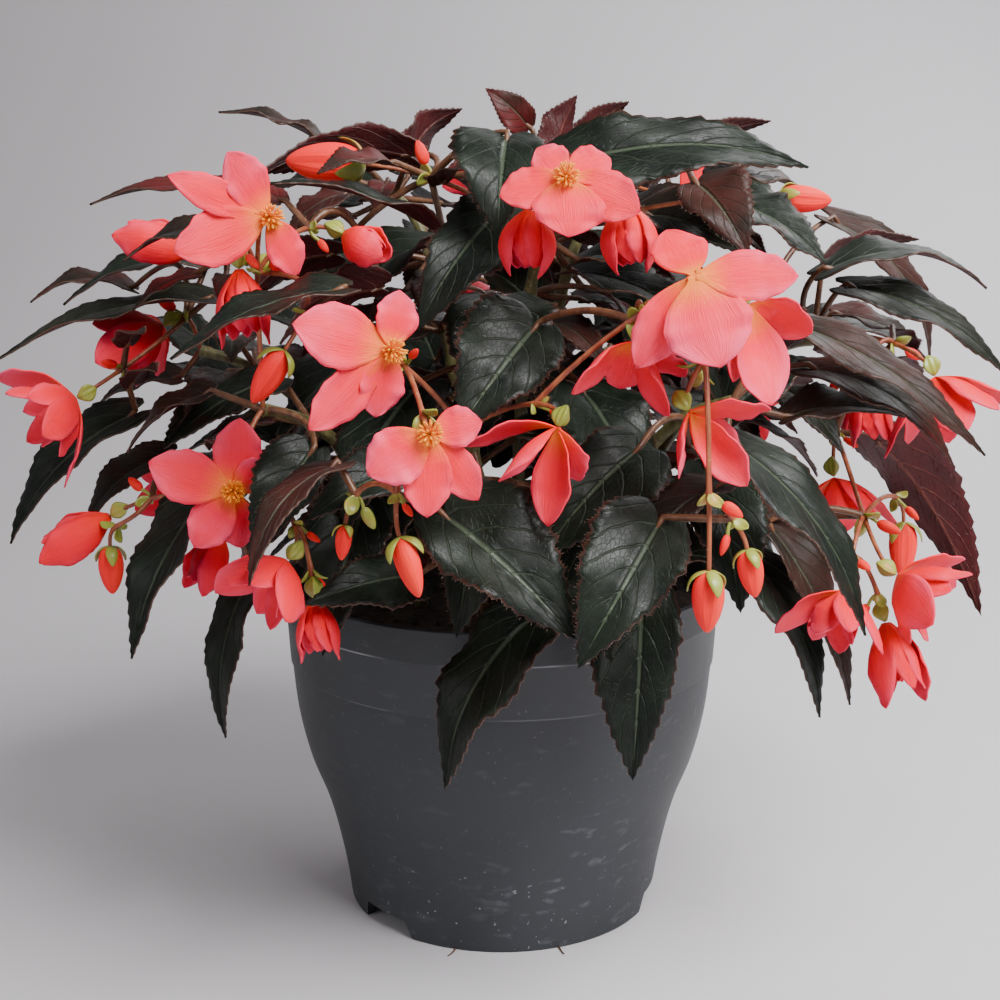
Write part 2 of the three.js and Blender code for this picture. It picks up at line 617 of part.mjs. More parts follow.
// ---------------------------------------------------------------- pot and soil
function round(points, sides) {
  return solid(new THREE.LatheGeometry(points.map(([r, z]) => new THREE.Vector2(r, z)), sides)
    .rotateX(Math.PI / 2))
}

// A closed wedge of the foot's circle, wide at the ground and narrower above.
function notchCutter(turn) {
  const half = radians(NOTCH_ANGLE) / 2
  const reach = FOOT_RADIUS + 12
  const slant = 4
  const width = 2 * reach * Math.sin(half)
  const outline = new THREE.Shape()
  outline.moveTo(-width / 2, -1)
  outline.lineTo(width / 2, -1)
  outline.lineTo(width / 2 - slant, NOTCH_HEIGHT)
  outline.lineTo(slant - width / 2, NOTCH_HEIGHT)
  outline.closePath()
  const depth = 24
  const cutter = new THREE.ExtrudeGeometry(outline, { depth, bevelEnabled: false })
  cutter.rotateX(Math.PI / 2)
  cutter.translate(0, -(FOOT_RADIUS - 10), 0)
  cutter.rotateZ(radians(turn))
  return solid(cutter)
}

function drainHole(turn) {
  const bore = new THREE.CylinderGeometry(DRAIN_RADIUS, DRAIN_RADIUS, 20, 6)
  bore.rotateX(Math.PI / 2)
  bore.translate(DRAIN_RING * Math.cos(turn), DRAIN_RING * Math.sin(turn), FLOOR_UNDER)
  return solid(bore)
}

// The pot's outside from the foot to the rim; the inside runs back down a wall's width in.
const OUTSIDE = [
  [FOOT_RADIUS, 0], [86, 33], [93, 61], [100, 80], [109.5, STEP_Z], [110.4, STEP_Z],
  [112.4, BAND_FOOT], [RIM_RADIUS, BAND_FOOT], [RIM_RADIUS + 0.4, RIM_TOP],
]
function insideRadius(z) {
  const above = OUTSIDE.findIndex(([, height]) => height > z)
  const [lowRadius, low] = OUTSIDE[above - 1]
  const [highRadius, high] = OUTSIDE[above]
  return lowRadius + ((highRadius - lowRadius) * (z - low)) / (high - low) - WALL
}

function pot() {
  const inner = [150, 80, 33].map((z) => [insideRadius(z), z])
  const profile = [
    ...OUTSIDE,
    [RIM_RADIUS - WALL, RIM_TOP], ...inner,
    [FOOT_RADIUS - 1.6, FLOOR_Z], [0, FLOOR_Z],
    [0, FLOOR_UNDER], [FOOT_RADIUS - 6, FLOOR_UNDER], [FOOT_RADIUS - 5.5, 0], [FOOT_RADIUS, 0],
  ]
  let body = round(profile, POT_SIDES)
  for (const turn of NOTCH_TURNS) body = body.subtract(notchCutter(turn))
  for (let hole = 0; hole < 6; hole += 1) body = body.subtract(drainHole((hole * Math.PI) / 3))
  return body
}

function soil(stems) {
  const facet = Math.cos(Math.PI / POT_SIDES) // the pot's flats lie inside its corners
  const side = (z) => [(insideRadius(z) - GAP) * facet, z]
  const profile = [
    [0, FLOOR_Z + GAP], [(FOOT_RADIUS - 3.6) * facet, FLOOR_Z + GAP],
    side(80), side(150), [108, SOIL_TOP - 3], [0, SOIL_TOP + 2],
  ]
  let body = round(profile, SOIL_SIDES)
  for (const { curve } of stems) {
    body = body.subtract(bar(curve, STEM_RADIUS + STEM_ROOM, STEM_SIDES, STEM_STEPS))
  }
  return body
}

// ---------------------------------------------------------------- stems
function makeStem({ turn, reach, height }, index) {
  const angle = radians(turn)
  const outer = reach > OUTER_REACH
  const start = outer ? 46 : 20
  const shoulder = outer ? 0.3 : 0.1
  const at = (radius, z) => V(radius * Math.cos(angle), radius * Math.sin(angle), z)
  const curve = new THREE.QuadraticBezierCurve3(
    at(start, ROOT_Z), at(start + (reach - start) * shoulder, height - 12), at(reach, height),
  )
  const joints = []
  for (let step = 2; step <= STEM_STEPS; step += 1) joints.push(curve.getPointAt(step / STEM_STEPS))
  const owner = newOwner()
  fill(pointsAlong(curve, height - ROOT_Z + reach - start, STEM_RADIUS), owner)
  const stem = { name: `leafy_stem_${index + 1}`, curve, joints, owner }
  stem.solids = [bar(curve, STEM_RADIUS, STEM_SIDES, STEM_STEPS)]
  return stem
}

const NEAREST_JOINTS = 6
// Every joint of every stem, the handiest for a piece that starts at a point and heads along.
function handiest(joints, point, heading) {
  const cost = ({ at }) => {
    const way = point.clone().sub(at)
    return way.length() + Math.max(0, -way.dot(heading)) + Math.max(0, at.z - point.z - 30)
  }
  return joints.map((joint) => ({ ...joint, cost: cost(joint) }))
    .sort((a, b) => a.cost - b.cost)
    .slice(0, NEAREST_JOINTS)
}

// ---------------------------------------------------------------- growing a leaf
// Ways that a stalk may bow to get past its neighbours: up, and to the side.
const BOWS = [[10, 0], [22, 0], [6, 14], [6, -14], [22, 16], [22, -16], [-8, 0], [36, 0], [-8, 16],
  [-8, -16], [36, 24], [36, -24], [10, 30], [10, -30], [50, 0]]

function stalkCurve(start, end, [rise, sway]) {
  const way = end.clone().sub(start)
  const level = V(-way.y, way.x, 0)
  level.divideScalar(level.length() + 1e-6)
  const middle = start.clone().add(end).multiplyScalar(0.5)
  middle.add(V(0, 0, rise)).add(level.multiplyScalar(sway))
  return new THREE.QuadraticBezierCurve3(start, middle, end)
}

// Moves a crowded piece straight towards or away from the viewer.
const NUDGES = [0, 5, -5, 10, -10, 16, -16, 22, -22, 30, -30, 38]
function nudged(point, step) {
  const sight = point.clone().sub(EYE)
  sight.divideScalar(sight.length())
  return point.clone().add(sight.multiplyScalar(step))
}

// A petiole leaves its blade straight back between the lobes, or below or above them.
function clearOfBlade(curve, frame, stub) {
  const way = curve.getPoint(0.5).sub(stub).normalize()
  const sideways = Math.abs(way.dot(frame.across))
  const upright = Math.abs(way.dot(frame.up))
  return way.dot(frame.along) < 0.2 && (sideways < 0.5 || upright > 0.5)
}

function growLeaf(leaf, joints, nudges = NUDGES) {
  for (const nudge of nudges) {
    const frame = bladeFrame({
      base: nudged(leaf.base, nudge),
      tip: nudged(leaf.tip, nudge),
      face: leaf.face,
      width: leaf.width,
      arch: leaf.arch,
      cup: 0.22,
      ripple: 0.14,
      lean: leaf.lean,
    })
    const points = bladePoints(frame, leafWidth, -LOBE * 0.9)
    if (!isFree(points)) continue
    const stub = frame.base.clone().addScaledVector(frame.along, -STUB)
    for (const joint of handiest(joints, frame.base, frame.along)) {
      for (const bow of BOWS) {
        const curve = stalkCurve(joint.at, stub, bow)
        const path = pointsAlong(curve, joint.at.distanceTo(stub) + 20)
        if (!isFree(path, [joint.stem.owner])) continue
        if (!clearOfBlade(curve, frame, stub)) continue
        fill(points, newOwner())
        fill(path, joint.stem.owner)
        const short = joint.at.distanceTo(stub) < SHORT_PETIOLE
        const petiole = short ? [stub, joint.at] : [stub, curve.getPoint(0.5), joint.at]
        joint.stem.solids.push(leafSolid(frame, leaf.teeth ?? teethFor(leaf.width), petiole))
        return true
      }
    }
  }
  return false
}

// ---------------------------------------------------------------- growing a bloom
// The tips of a hanging bloom's tepals, from its middle: every other tepal is an inner one,
// shorter and more closed.
function hangingTips({ face, open, size, tepals }) {
  const helper = Math.abs(face.z) > 0.9 ? V(0, 1, 0) : V(0, 0, 1)
  const level = helper.clone().cross(face).normalize()
  const upright = face.clone().cross(level)
  const spread = Math.sin(radians(open)) * Math.tan(Math.PI / tepals)
  return Array.from({ length: tepals }, (_, tepal) => {
    const inner = tepal % 2 === 1
    const turn = (2 * Math.PI * tepal) / tepals
    const lean = radians(inner ? open * 0.64 : open)
    const length = size * (inner ? 0.84 : 1)
    const tip = face.clone().multiplyScalar(length * Math.cos(lean))
      .addScaledVector(level, length * Math.sin(lean) * Math.cos(turn))
      .addScaledVector(upright, length * Math.sin(lean) * Math.sin(turn))
    return { tip, width: length * Math.min(0.56, 0.76 * spread) }
  })
}

// Directions square to the way that a bloom faces.
function acrossFace({ face, tips }) {
  const first = tips[0].tip
  const level = first.clone().addScaledVector(face, -face.dot(first)).normalize()
  return { level, upright: face.clone().cross(level) }
}

// Tepals in order round the way that the bloom faces.
function tepalFrames(bloom, at) {
  const { face, level, upright } = bloom
  const turnOf = (tip) => {
    const turn = Math.atan2(tip.dot(upright), tip.dot(level))
    return turn < -1e-6 ? turn + 2 * Math.PI : turn
  }
  return [...bloom.tips].sort((a, b) => turnOf(a.tip) - turnOf(b.tip)).map(({ tip, width }) => {
    const outwards = tip.clone().addScaledVector(face, -face.dot(tip)).normalize()
    const closed = face.dot(tip) > 0.6 * tip.length()
    const frame = bladeFrame({
      base: at.clone(),
      tip: at.clone().add(tip),
      face: closed ? face.clone().sub(outwards) : face.clone(),
      width,
      arch: closed ? -0.14 : -0.05,
      cup: 0.1,
    })
    return { ...frame, turn: turnOf(tip) }
  })
}

// A closed bud is one long drop: a short round end at the stalk, a pointed one ahead.
function budShape(bloom, at) {
  const drop = new THREE.SphereGeometry(1, 6, 4)
  drop.rotateX(Math.PI / 2)
  drop.scale(bloom.size * 0.26, bloom.size * 0.2, bloom.size / 2)
  drop.applyQuaternion(new THREE.Quaternion().setFromUnitVectors(V(0, 0, 1), bloom.face))
  const middle = budMiddle(bloom, at)
  drop.translate(middle.x, middle.y, middle.z)
  return drop
}

function budMiddle(bloom, at) {
  return at.clone().add(bloom.face.clone().multiplyScalar(bloom.size / 2))
}

function budPoints(bloom, at) {
  const position = budShape(bloom, at).attributes.position
  const middle = budMiddle(bloom, at)
  const points = []
  for (let index = 0; index < position.count; index += 1) {
    const skin = V().fromBufferAttribute(position, index)
    points.push(skin, skin.clone().lerp(middle, 0.5))
  }
  return points
}

const blooms = []
function growBloom(piece, joints) {
  const bloom = piece.tips ? { ...piece, ...acrossFace(piece) } : piece
  const owner = newOwner()
  for (const nudge of NUDGES) {
    const at = nudged(bloom.at, nudge)
    const frames = bloom.tips ? tepalFrames(bloom, at) : []
    const tepals = frames.flatMap((frame) => bladePoints(frame, tepalWidth, 0))
    const points = bloom.tips ? tepals : budPoints(bloom, at)
    if (!isFree(points)) continue
    const end = at.clone().addScaledVector(bloom.face, bloom.tips ? -BLADE / 2 - STALK_END : -GAP)
    const behind = at.clone().addScaledVector(bloom.face, -STALK_HOOK)
    for (const joint of handiest(joints, behind, bloom.face)) {
      for (const bow of BOWS) {
        const bend = stalkCurve(joint.at, behind, bow).v1
        const curve = new THREE.CubicBezierCurve3(joint.at, bend, behind, end)
        const path = pointsAlong(curve, joint.at.distanceTo(end) + 30)
        const clear = path.filter((point) => point.distanceTo(at) > BLOOM_REACH)
        if (!isFree(clear, [joint.stem.owner])) continue
        fill(points, owner)
        fill(path, joint.stem.owner)
        joint.stem.solids.push(bar(curve, STALK_RADIUS, 3, STALK_STEPS))
        joints.push({ at: curve.getPointAt(STALK_FORK / STALK_STEPS), stem: joint.stem })
        blooms.push({ ...bloom, at, frames })
        return true
      }
    }
  }
  return false
}

function bloomSolid(bloom) {
  if (!bloom.tips) return solid(budShape(bloom, bloom.at))
  const large = bloom.tips.some(({ tip }) => tip.length() > LARGE_TEPAL)
  return corolla(bloom, large ? [0.25, 0.6, 0.88] : [0.34, 0.78])
}

// The tuft of stamens in an open bloom.
function stamens({ at, face }) {
  const middle = at.clone().addScaledVector(face, BLADE / 2 + GAP + TUFT_RADIUS * TUFT_FLAT)
  const ball = new THREE.IcosahedronGeometry(TUFT_RADIUS)
  ball.translate(middle.x, middle.y, middle.z)
  return solid(ball)
}

// ---------------------------------------------------------------- the far side
function turned(point, turn, lift) {
  return point.clone().applyAxisAngle(V(0, 0, 1), radians(turn)).add(V(0, 0, lift))
}

function farCopy(piece) {
  const turn = FAR_TURN + draw(-FAR_SWAY, FAR_SWAY)
  const lift = draw(-FAR_LIFT, FAR_LIFT)
  const copy = { ...piece, face: turned(piece.face, turn, 0) }
  for (const key of ['base', 'tip', 'at']) {
    if (piece[key]) copy[key] = turned(piece[key], turn, lift)
  }
  if (piece.tips) copy.tips = piece.tips.map(({ tip, width }) => ({ tip: turned(tip, turn, 0), width }))
  if (piece.name) copy.name = `far_${piece.name}`
  delete copy.stamens
  return copy
}

// ---------------------------------------------------------------- the inside
const SWINGS = [0, 7, -7, 14, -14].flatMap((swing) => [[swing, 0], [swing, 10], [swing, -10]])
function roundLeaf({ count, reach, height, fall }, index, shift) {
  const out = Math.sqrt(ROUND_LENGTH ** 2 - fall ** 2)
  const turn = (360 * (index + shift)) / count + draw(-6, 6)
  const at = (radius, z) => turned(V(radius, 0, z), turn, 0)
  return {
    base: at(reach, height),
    tip: at(reach + out, height - fall),
    face: at(fall, out).normalize(),
    width: ROUND_WIDTH,
    arch: 0.1,
    lean: index % 2 ? 0.14 : -0.14,
    teeth: 2,
  }
}

// A crowded leaf of a round swings a little round the pot, or is a smaller one.
function growRoundLeaf(leaf, joints) {
  for (const scale of [1, 0.8, 0.6]) {
    for (const [swing, lift] of SWINGS) {
      const tip = leaf.base.clone().lerp(leaf.tip, scale)
      const moved = {
        ...leaf,
        base: turned(leaf.base, swing, lift),
        tip: turned(tip, swing, lift),
        face: turned(leaf.face, swing, 0),
        width: leaf.width * scale,
      }
      if (growLeaf(moved, joints, [0])) return true
    }
  }
  return false
}

// ---------------------------------------------------------------- the whole plant
const finish = {
  pot: new THREE.MeshStandardMaterial({ color: 0x3f4045, roughness: 0.6, metalness: 0 }),
  soil: new THREE.MeshStandardMaterial({ color: 0x2a1f18, roughness: 0.95, metalness: 0 }),
  leaf: new THREE.MeshStandardMaterial({ color: 0x26382e, roughness: 0.4, metalness: 0 }),
  bloom: new THREE.MeshStandardMaterial({ color: 0xf4696b, roughness: 0.5, metalness: 0 }),
  stamens: new THREE.MeshStandardMaterial({ color: 0xf5a51b, roughness: 0.6, metalness: 0 }),
}

// The pot's wall and the soil take their room first.
function fillPot() {
  const owner = newOwner()
  const points = []
  for (let z = 40; z <= RIM_TOP; z += 2) {
    for (let turn = 0; turn < 360; turn += 1) {
      const radius = z > 150 ? RIM_RADIUS : insideRadius(z) + WALL
      points.push(V(radius * Math.cos(radians(turn)), radius * Math.sin(radians(turn)), z))
    }
  }
  for (let x = -110; x <= 110; x += 2) {
    for (let y = -110; y <= 110; y += 2) points.push(V(x, y, SOIL_TOP))
  }
  fill(points, owner)
}

fillPot()
const stems = STEMS.map(makeStem)
const joints = stems.flatMap((stem) => stem.joints.map((at) => ({ at, stem })))
const unit = (face) => V(...face).normalize()
const nearBlooms = [
  ...OPEN_BLOOMS.map((bloom) => ({
    ...bloom,
    at: V(...bloom.at),
    face: unit(bloom.face),
    tips: bloom.tips.map(([x, y, z, width]) => ({ tip: V(x, y, z), width })),
  })),
  ...HANGING_BLOOMS.map((bloom) => {
    const face = unit(bloom.face)
    return { ...bloom, at: V(...bloom.at), face, tips: hangingTips({ ...bloom, face }) }
  }),
  ...BUDS.map((bud) => ({ ...bud, at: V(...bud.at), face: unit(bud.face) })),
]
const nearLeaves = LEAVES.map((leaf, index) => ({
  base: V(...leaf.base),
  tip: V(...leaf.tip),
  face: unit(leaf.face),
  width: leaf.width,
  arch: 0.08 + 0.04 * (index % 3),
  lean: index % 2 ? 0.16 : -0.16,
}))
const farLeaves = nearLeaves.filter((leaf) => leaf.base.y < FAR_FROM && leaf.width >= FAR_WIDTH)
nearBlooms.forEach((bloom) => growBloom(bloom, joints))
nearLeaves.forEach((leaf) => growLeaf(leaf, joints))
ROUNDS.forEach((tier, shift) => {
  for (let index = 0; index < tier.count; index += 1) {
    growRoundLeaf(roundLeaf(tier, index, shift / 2), joints)
  }
})
FAR_BLOOMS.forEach((name) => growBloom(farCopy(nearBlooms.find((bloom) => bloom.name === name)), joints))
farLeaves.forEach((leaf) => growLeaf(farCopy(leaf), joints))

const plant = new THREE.Group()
plant.add(named('pot', pot(), finish.pot))
plant.add(named('soil', soil(stems), finish.soil))
for (const stem of stems) plant.add(named(stem.name, join(stem.solids), finish.leaf))
for (const bloom of blooms) {
  plant.add(named(bloom.name, bloomSolid(bloom), finish.bloom))
  if (bloom.stamens) plant.add(named(`stamens_${bloom.name}`, stamens(bloom), finish.stamens))
}

export default plant
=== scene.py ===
# %% [markdown]
# # A potted begonia
# The plant stands in a dark nursery pot: ten leafy stems lean out over the rim and carry lopsided,
# toothed leaves, and coral blooms hang from thin stalks. The solids of the packed model say where
# everything is. This lesson replaces them with finer pieces in the same places: first the camera
# and the light, then the rule by which the plant grows, then one leaf, one tepal, one bud and one
# tuft of stamens that are copied many times, and last the pot and its soil.

# %% Load the packed model
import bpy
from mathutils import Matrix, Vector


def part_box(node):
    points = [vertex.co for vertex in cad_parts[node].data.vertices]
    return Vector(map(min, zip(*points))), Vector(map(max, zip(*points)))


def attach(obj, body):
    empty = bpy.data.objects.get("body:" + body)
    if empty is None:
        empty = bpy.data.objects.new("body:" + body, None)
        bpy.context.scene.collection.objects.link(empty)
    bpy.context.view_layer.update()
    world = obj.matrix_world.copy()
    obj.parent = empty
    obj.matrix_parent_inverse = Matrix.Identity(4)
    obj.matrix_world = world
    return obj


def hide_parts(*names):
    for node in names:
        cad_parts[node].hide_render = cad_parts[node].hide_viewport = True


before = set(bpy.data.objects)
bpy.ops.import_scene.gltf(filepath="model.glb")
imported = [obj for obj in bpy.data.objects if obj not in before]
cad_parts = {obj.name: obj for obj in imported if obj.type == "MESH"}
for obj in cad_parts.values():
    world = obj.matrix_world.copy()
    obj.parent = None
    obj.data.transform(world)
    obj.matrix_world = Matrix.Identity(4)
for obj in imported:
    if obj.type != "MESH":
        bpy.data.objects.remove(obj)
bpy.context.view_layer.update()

# %% The libraries that the lesson uses
import math
import random

import bpy
import numpy as np
from mathutils import Vector, noise

MM = 0.001  # sizes are written in millimetres, Blender works in metres


def deselect():
    """An operator acts on all that is selected, so nothing may be selected before a new one."""
    if bpy.context.mode != "OBJECT":
        bpy.ops.object.mode_set(mode="OBJECT")
    bpy.ops.object.select_all(action="DESELECT")


def pick(*objects):
    """Selects just these, the first of them as the active one."""
    deselect()
    for thing in objects:
        thing.select_set(True)
    bpy.context.view_layer.objects.active = objects[0]


def fresh(name):
    """The object that an operator has just added, under a name of its own."""
    thing = bpy.context.active_object
    thing.name = name
    thing.data.name = name
    return thing


def settle():
    """Moves the selected object's place, turn and scale into its mesh, so that it sits at the origin."""
    bpy.ops.object.transform_apply(location=True, rotation=True, scale=True)


def remove(*objects):
    pick(*objects)
    bpy.ops.object.delete()


print("one millimetre in Blender's metres:", MM)

# %% [markdown]
# ## The camera
# The photograph was taken from just above the plant, a little under a metre away, looking down by
# about 13 degrees. Only the pot gives that away: the ellipse of its foot is wider open than that of
# its rim. The same distance and tilt bring every leaf to its place in the picture.

# %% Camera
CAMERA_SIDE, CAMERA_BACK, CAMERA_HEIGHT = -0.001, 0.842, 0.403  # metres
CAMERA_DOWN = 12.66  # degrees below the level
CAMERA_LENS, CAMERA_SENSOR = 59.76, 36

deselect()
bpy.ops.object.camera_add(
    location=(CAMERA_SIDE, -CAMERA_BACK, CAMERA_HEIGHT),
    rotation=(math.radians(90 - CAMERA_DOWN), 0, 0),
)
camera = fresh("photo_camera")
camera.data.lens = CAMERA_LENS
camera.data.sensor_width = CAMERA_SENSOR
camera.data.clip_start = 0.05
bpy.context.scene.camera = camera
print("camera lens, mm:", round(camera.data.lens, 2))

# %% [markdown]
# ## Light and ground
# A studio's soft boxes are area lights: the bigger they are, the softer the shadows. One large
# box hangs over the plant from the right, a weaker one fills from the left, and a pale curved
# backdrop throws light back from behind. A backdrop that turns up in one smooth bend has no
# corner that could show as a line.

# %% Soft boxes
def soft_box(name, place, aim, size, power):
    """A square area light, in metres and watts, that faces a point."""
    deselect()
    way = np.array(aim) - np.array(place)
    level = math.hypot(way[0], way[1])
    turn = (math.atan2(level, -way[2]), 0, math.atan2(-way[0], way[1]))
    bpy.ops.object.light_add(type="AREA", location=place, rotation=turn)
    lamp = fresh(name)
    lamp.data.size = size
    lamp.data.energy = power


soft_box("soft_box_above", place=(0.8, -0.9, 1.6), aim=(0, 0, 0.25), size=1.1, power=78)
soft_box("soft_box_left", place=(-1.5, -1.1, 0.9), aim=(0, 0, 0.25), size=1.0, power=6)
soft_box("soft_box_back", place=(0.9, 1.0, 1.3), aim=(0, 0, 0.3), size=0.9, power=14)

world = bpy.data.worlds.new("studio_air")
world.use_nodes = True
air = world.node_tree.nodes["Background"].inputs
air["Color"].default_value = (0.78, 0.77, 0.8, 1)
air["Strength"].default_value = 0.36
bpy.context.scene.world = world
print("soft boxes:", len(bpy.data.lights))

# %% Backdrop
FLOOR_SIZE, FLOOR_MIDDLE = (7, 5), (0, -0.6, 0)  # metres
PAPER_HEIGHT, PAPER_BEND = 3, 1.2

deselect()
bpy.ops.mesh.primitive_plane_add(size=1, location=FLOOR_MIDDLE)
backdrop = fresh("backdrop")
backdrop.scale = (*FLOOR_SIZE, 1)
settle()
bpy.ops.object.mode_set(mode="EDIT")
bpy.ops.mesh.select_mode(type="EDGE")
bpy.ops.mesh.select_all(action="DESELECT")
bpy.ops.object.mode_set(mode="OBJECT")
corners = backdrop.data.vertices
for edge in backdrop.data.edges:
    edge.select = all(corners[end].co.y > 0 for end in edge.vertices)
bpy.ops.object.mode_set(mode="EDIT")
bpy.ops.mesh.extrude_region_move(TRANSFORM_OT_translate={"value": (0, 0, PAPER_HEIGHT)})
bpy.ops.object.mode_set(mode="OBJECT")
bend = backdrop.modifiers.new("smooth_turn", "BEVEL")
bend.width = PAPER_BEND
bend.segments = 24
bend.limit_method = "ANGLE"
bpy.ops.object.modifier_apply(modifier=bend.name)
bpy.ops.object.shade_smooth()
print("backdrop faces:", len(backdrop.data.polygons))

# %% [markdown]
# ## Shader maths in Python
# A procedural material is a small formula. To keep it readable, a `Wire` stands for one output of
# a node, and Python's own operators add the Math nodes: `1 - vein * 0.5` becomes two nodes. Every
# other node comes from `Looks.node`, which sets the node's options first and then its inputs.

# %% Wires
class Wire:
    """One output of a node; sums and products with it add Math nodes."""

    def __init__(self, looks, socket):
        self.looks = looks
        self.socket = socket

    def math(self, operation, *values):
        return self.looks.node("ShaderNodeMath", {"operation": operation}, values)

    def __add__(self, other):
        return self.math("ADD", self, other)

    def __radd__(self, other):
        return self.math("ADD", other, self)

    def __sub__(self, other):
        return self.math("SUBTRACT", self, other)

    def __rsub__(self, other):
        return self.math("SUBTRACT", other, self)

    def __mul__(self, other):
        return self.math("MULTIPLY", self, other)

    def __rmul__(self, other):
        return self.math("MULTIPLY", other, self)

    def __abs__(self):
        return self.math("ABSOLUTE", self)

    def fraction(self):
        return self.math("FRACT", self)

    def between(self, low, high):
        """0 below low, 1 above high, and a soft step from one to the other."""
        soft = {"interpolation_type": "SMOOTHSTEP"}
        inputs = {"Value": self, "From Min": low, "From Max": high}
        return self.looks.node("ShaderNodeMapRange", soft, inputs)


print("a wire adds nodes for: + - * abs() fraction() between()")

# %% Looks
class Looks:
    """A material whose nodes are added one by one."""

    def __init__(self, name, **constants):
        self.material = bpy.data.materials.new(name)
        self.material.use_nodes = True
        self.tree = self.material.node_tree
        self.shader = self.tree.nodes["Principled BSDF"]
        for socket, value in constants.items():
            self.shader.inputs[socket.replace("_", " ")].default_value = value

    def node(self, kind, settings, inputs=(), output=0):
        """Adds a node: its settings first, then the values or links of its inputs."""
        new = self.tree.nodes.new(kind)
        for key, value in settings.items():
            setattr(new, key, value)
        pairs = inputs.items() if isinstance(inputs, dict) else enumerate(inputs)
        for key, value in pairs:
            if isinstance(value, Wire):
                self.tree.links.new(value.socket, new.inputs[key])
            else:
                new.inputs[key].default_value = value
        return Wire(self, new.outputs[output])

    def mix(self, share, first, second):
        """From the first colour to the second by a share."""
        first, second = [c if isinstance(c, Wire) else (*c, 1) for c in (first, second)]
        return self.node("ShaderNodeMix", {"data_type": "RGBA"}, {0: share, 6: first, 7: second}, 2)

    def noise(self, place, scale, detail=3.0):
        inputs = {"Vector": place, "Scale": scale, "Detail": detail}
        return self.node("ShaderNodeTexNoise", {}, inputs)

    def place(self):
        return self.node("ShaderNodeTexCoord", {}, (), "Object")

    def part(self, place, axis):
        """One coordinate of a place, as a number."""
        return self.node("ShaderNodeSeparateXYZ", {}, (place,), axis)

    def unwrapped(self):
        """How far along and how far across a point lies, both from 0 to 1."""
        uv = self.node("ShaderNodeTexCoord", {}, (), "UV")
        return uv, self.part(uv, 0), self.part(uv, 1)

    def attribute(self, name):
        return self.node("ShaderNodeAttribute", {"attribute_name": name}, (), 2)

    def stretched(self, place, scale):
        return self.node("ShaderNodeMapping", {}, {"Vector": place, "Scale": scale})

    def bump(self, height, distance, strength):
        inputs = {"Height": height, "Distance": distance, "Strength": strength}
        return self.node("ShaderNodeBump", {}, inputs)

    def set(self, socket, wire):
        self.tree.links.new(wire.socket, self.shader.inputs[socket])


print("what looks can do:", [name for name in vars(Looks) if name[0] != "_"])

# %% [markdown]
# The first finish is the easiest: grey paper with painted light, lighter from left to right, as the
# large soft box on the right would light it. The place of a point along X gives the share of the lighter
# grey.

# %% Backdrop paper
PAPER_SHADED, PAPER_LIT = (0.38, 0.36, 0.37), (0.74, 0.72, 0.75)
paper = Looks("backdrop_paper", Roughness=0.9)
speckle = paper.noise(paper.place(), 2.0)
# painted light: the paper is coloured darker at the left and lighter at the right, with a faint speckle
painted_light_and_speckle = paper.part(paper.place(), 0).between(-1.1, 1.3) + speckle * 0.1
paper.set("Base Color", paper.mix(painted_light_and_speckle, PAPER_SHADED, PAPER_LIT))
backdrop.data.materials.append(paper.material)
print("nodes in the paper:", len(paper.tree.nodes))

# %% [markdown]
# ## How the plant grows
# No two leaves sit alike, yet none grows through another. The tables below say where each stem,
# leaf and bloom of the near side wants to be. A piece is tried there first, and then a little
# nearer or further along the line of sight, until the small cells of room that it would fill are
# all free. Its stalk then looks for the handiest joint. The far side repeats the near side, turned
# round the pot, and rounds of broad leaves fill the inside. The same rule, with the same seed,
# placed the solids, so the fine pieces land where the solids are.

# %% Ways and stems, mm
UP = (0, -0.2, 1)
FRONT = (0, -1, 0.4)
SLANT = (0, -0.7, 0.7)
LEFT = (-0.6, -0.6, 0.5)
RIGHT = (0.6, -0.6, 0.5)
AWAY = (0, 0.7, 0.7)
BACK = (0, 1, 0.6)
# each stem: turn in degrees from +X, reach of its tip from the middle, height of its tip
STEMS = [
    (-98, 122, 272), (-40, 138, 280), (4, 160, 296), (62, 130, 276), (118, 130, 280), (176, 156, 290),
    (-142, 140, 276), (-70, 60, 352), (30, 60, 362), (158, 60, 368),
]
print("stems:", len(STEMS))

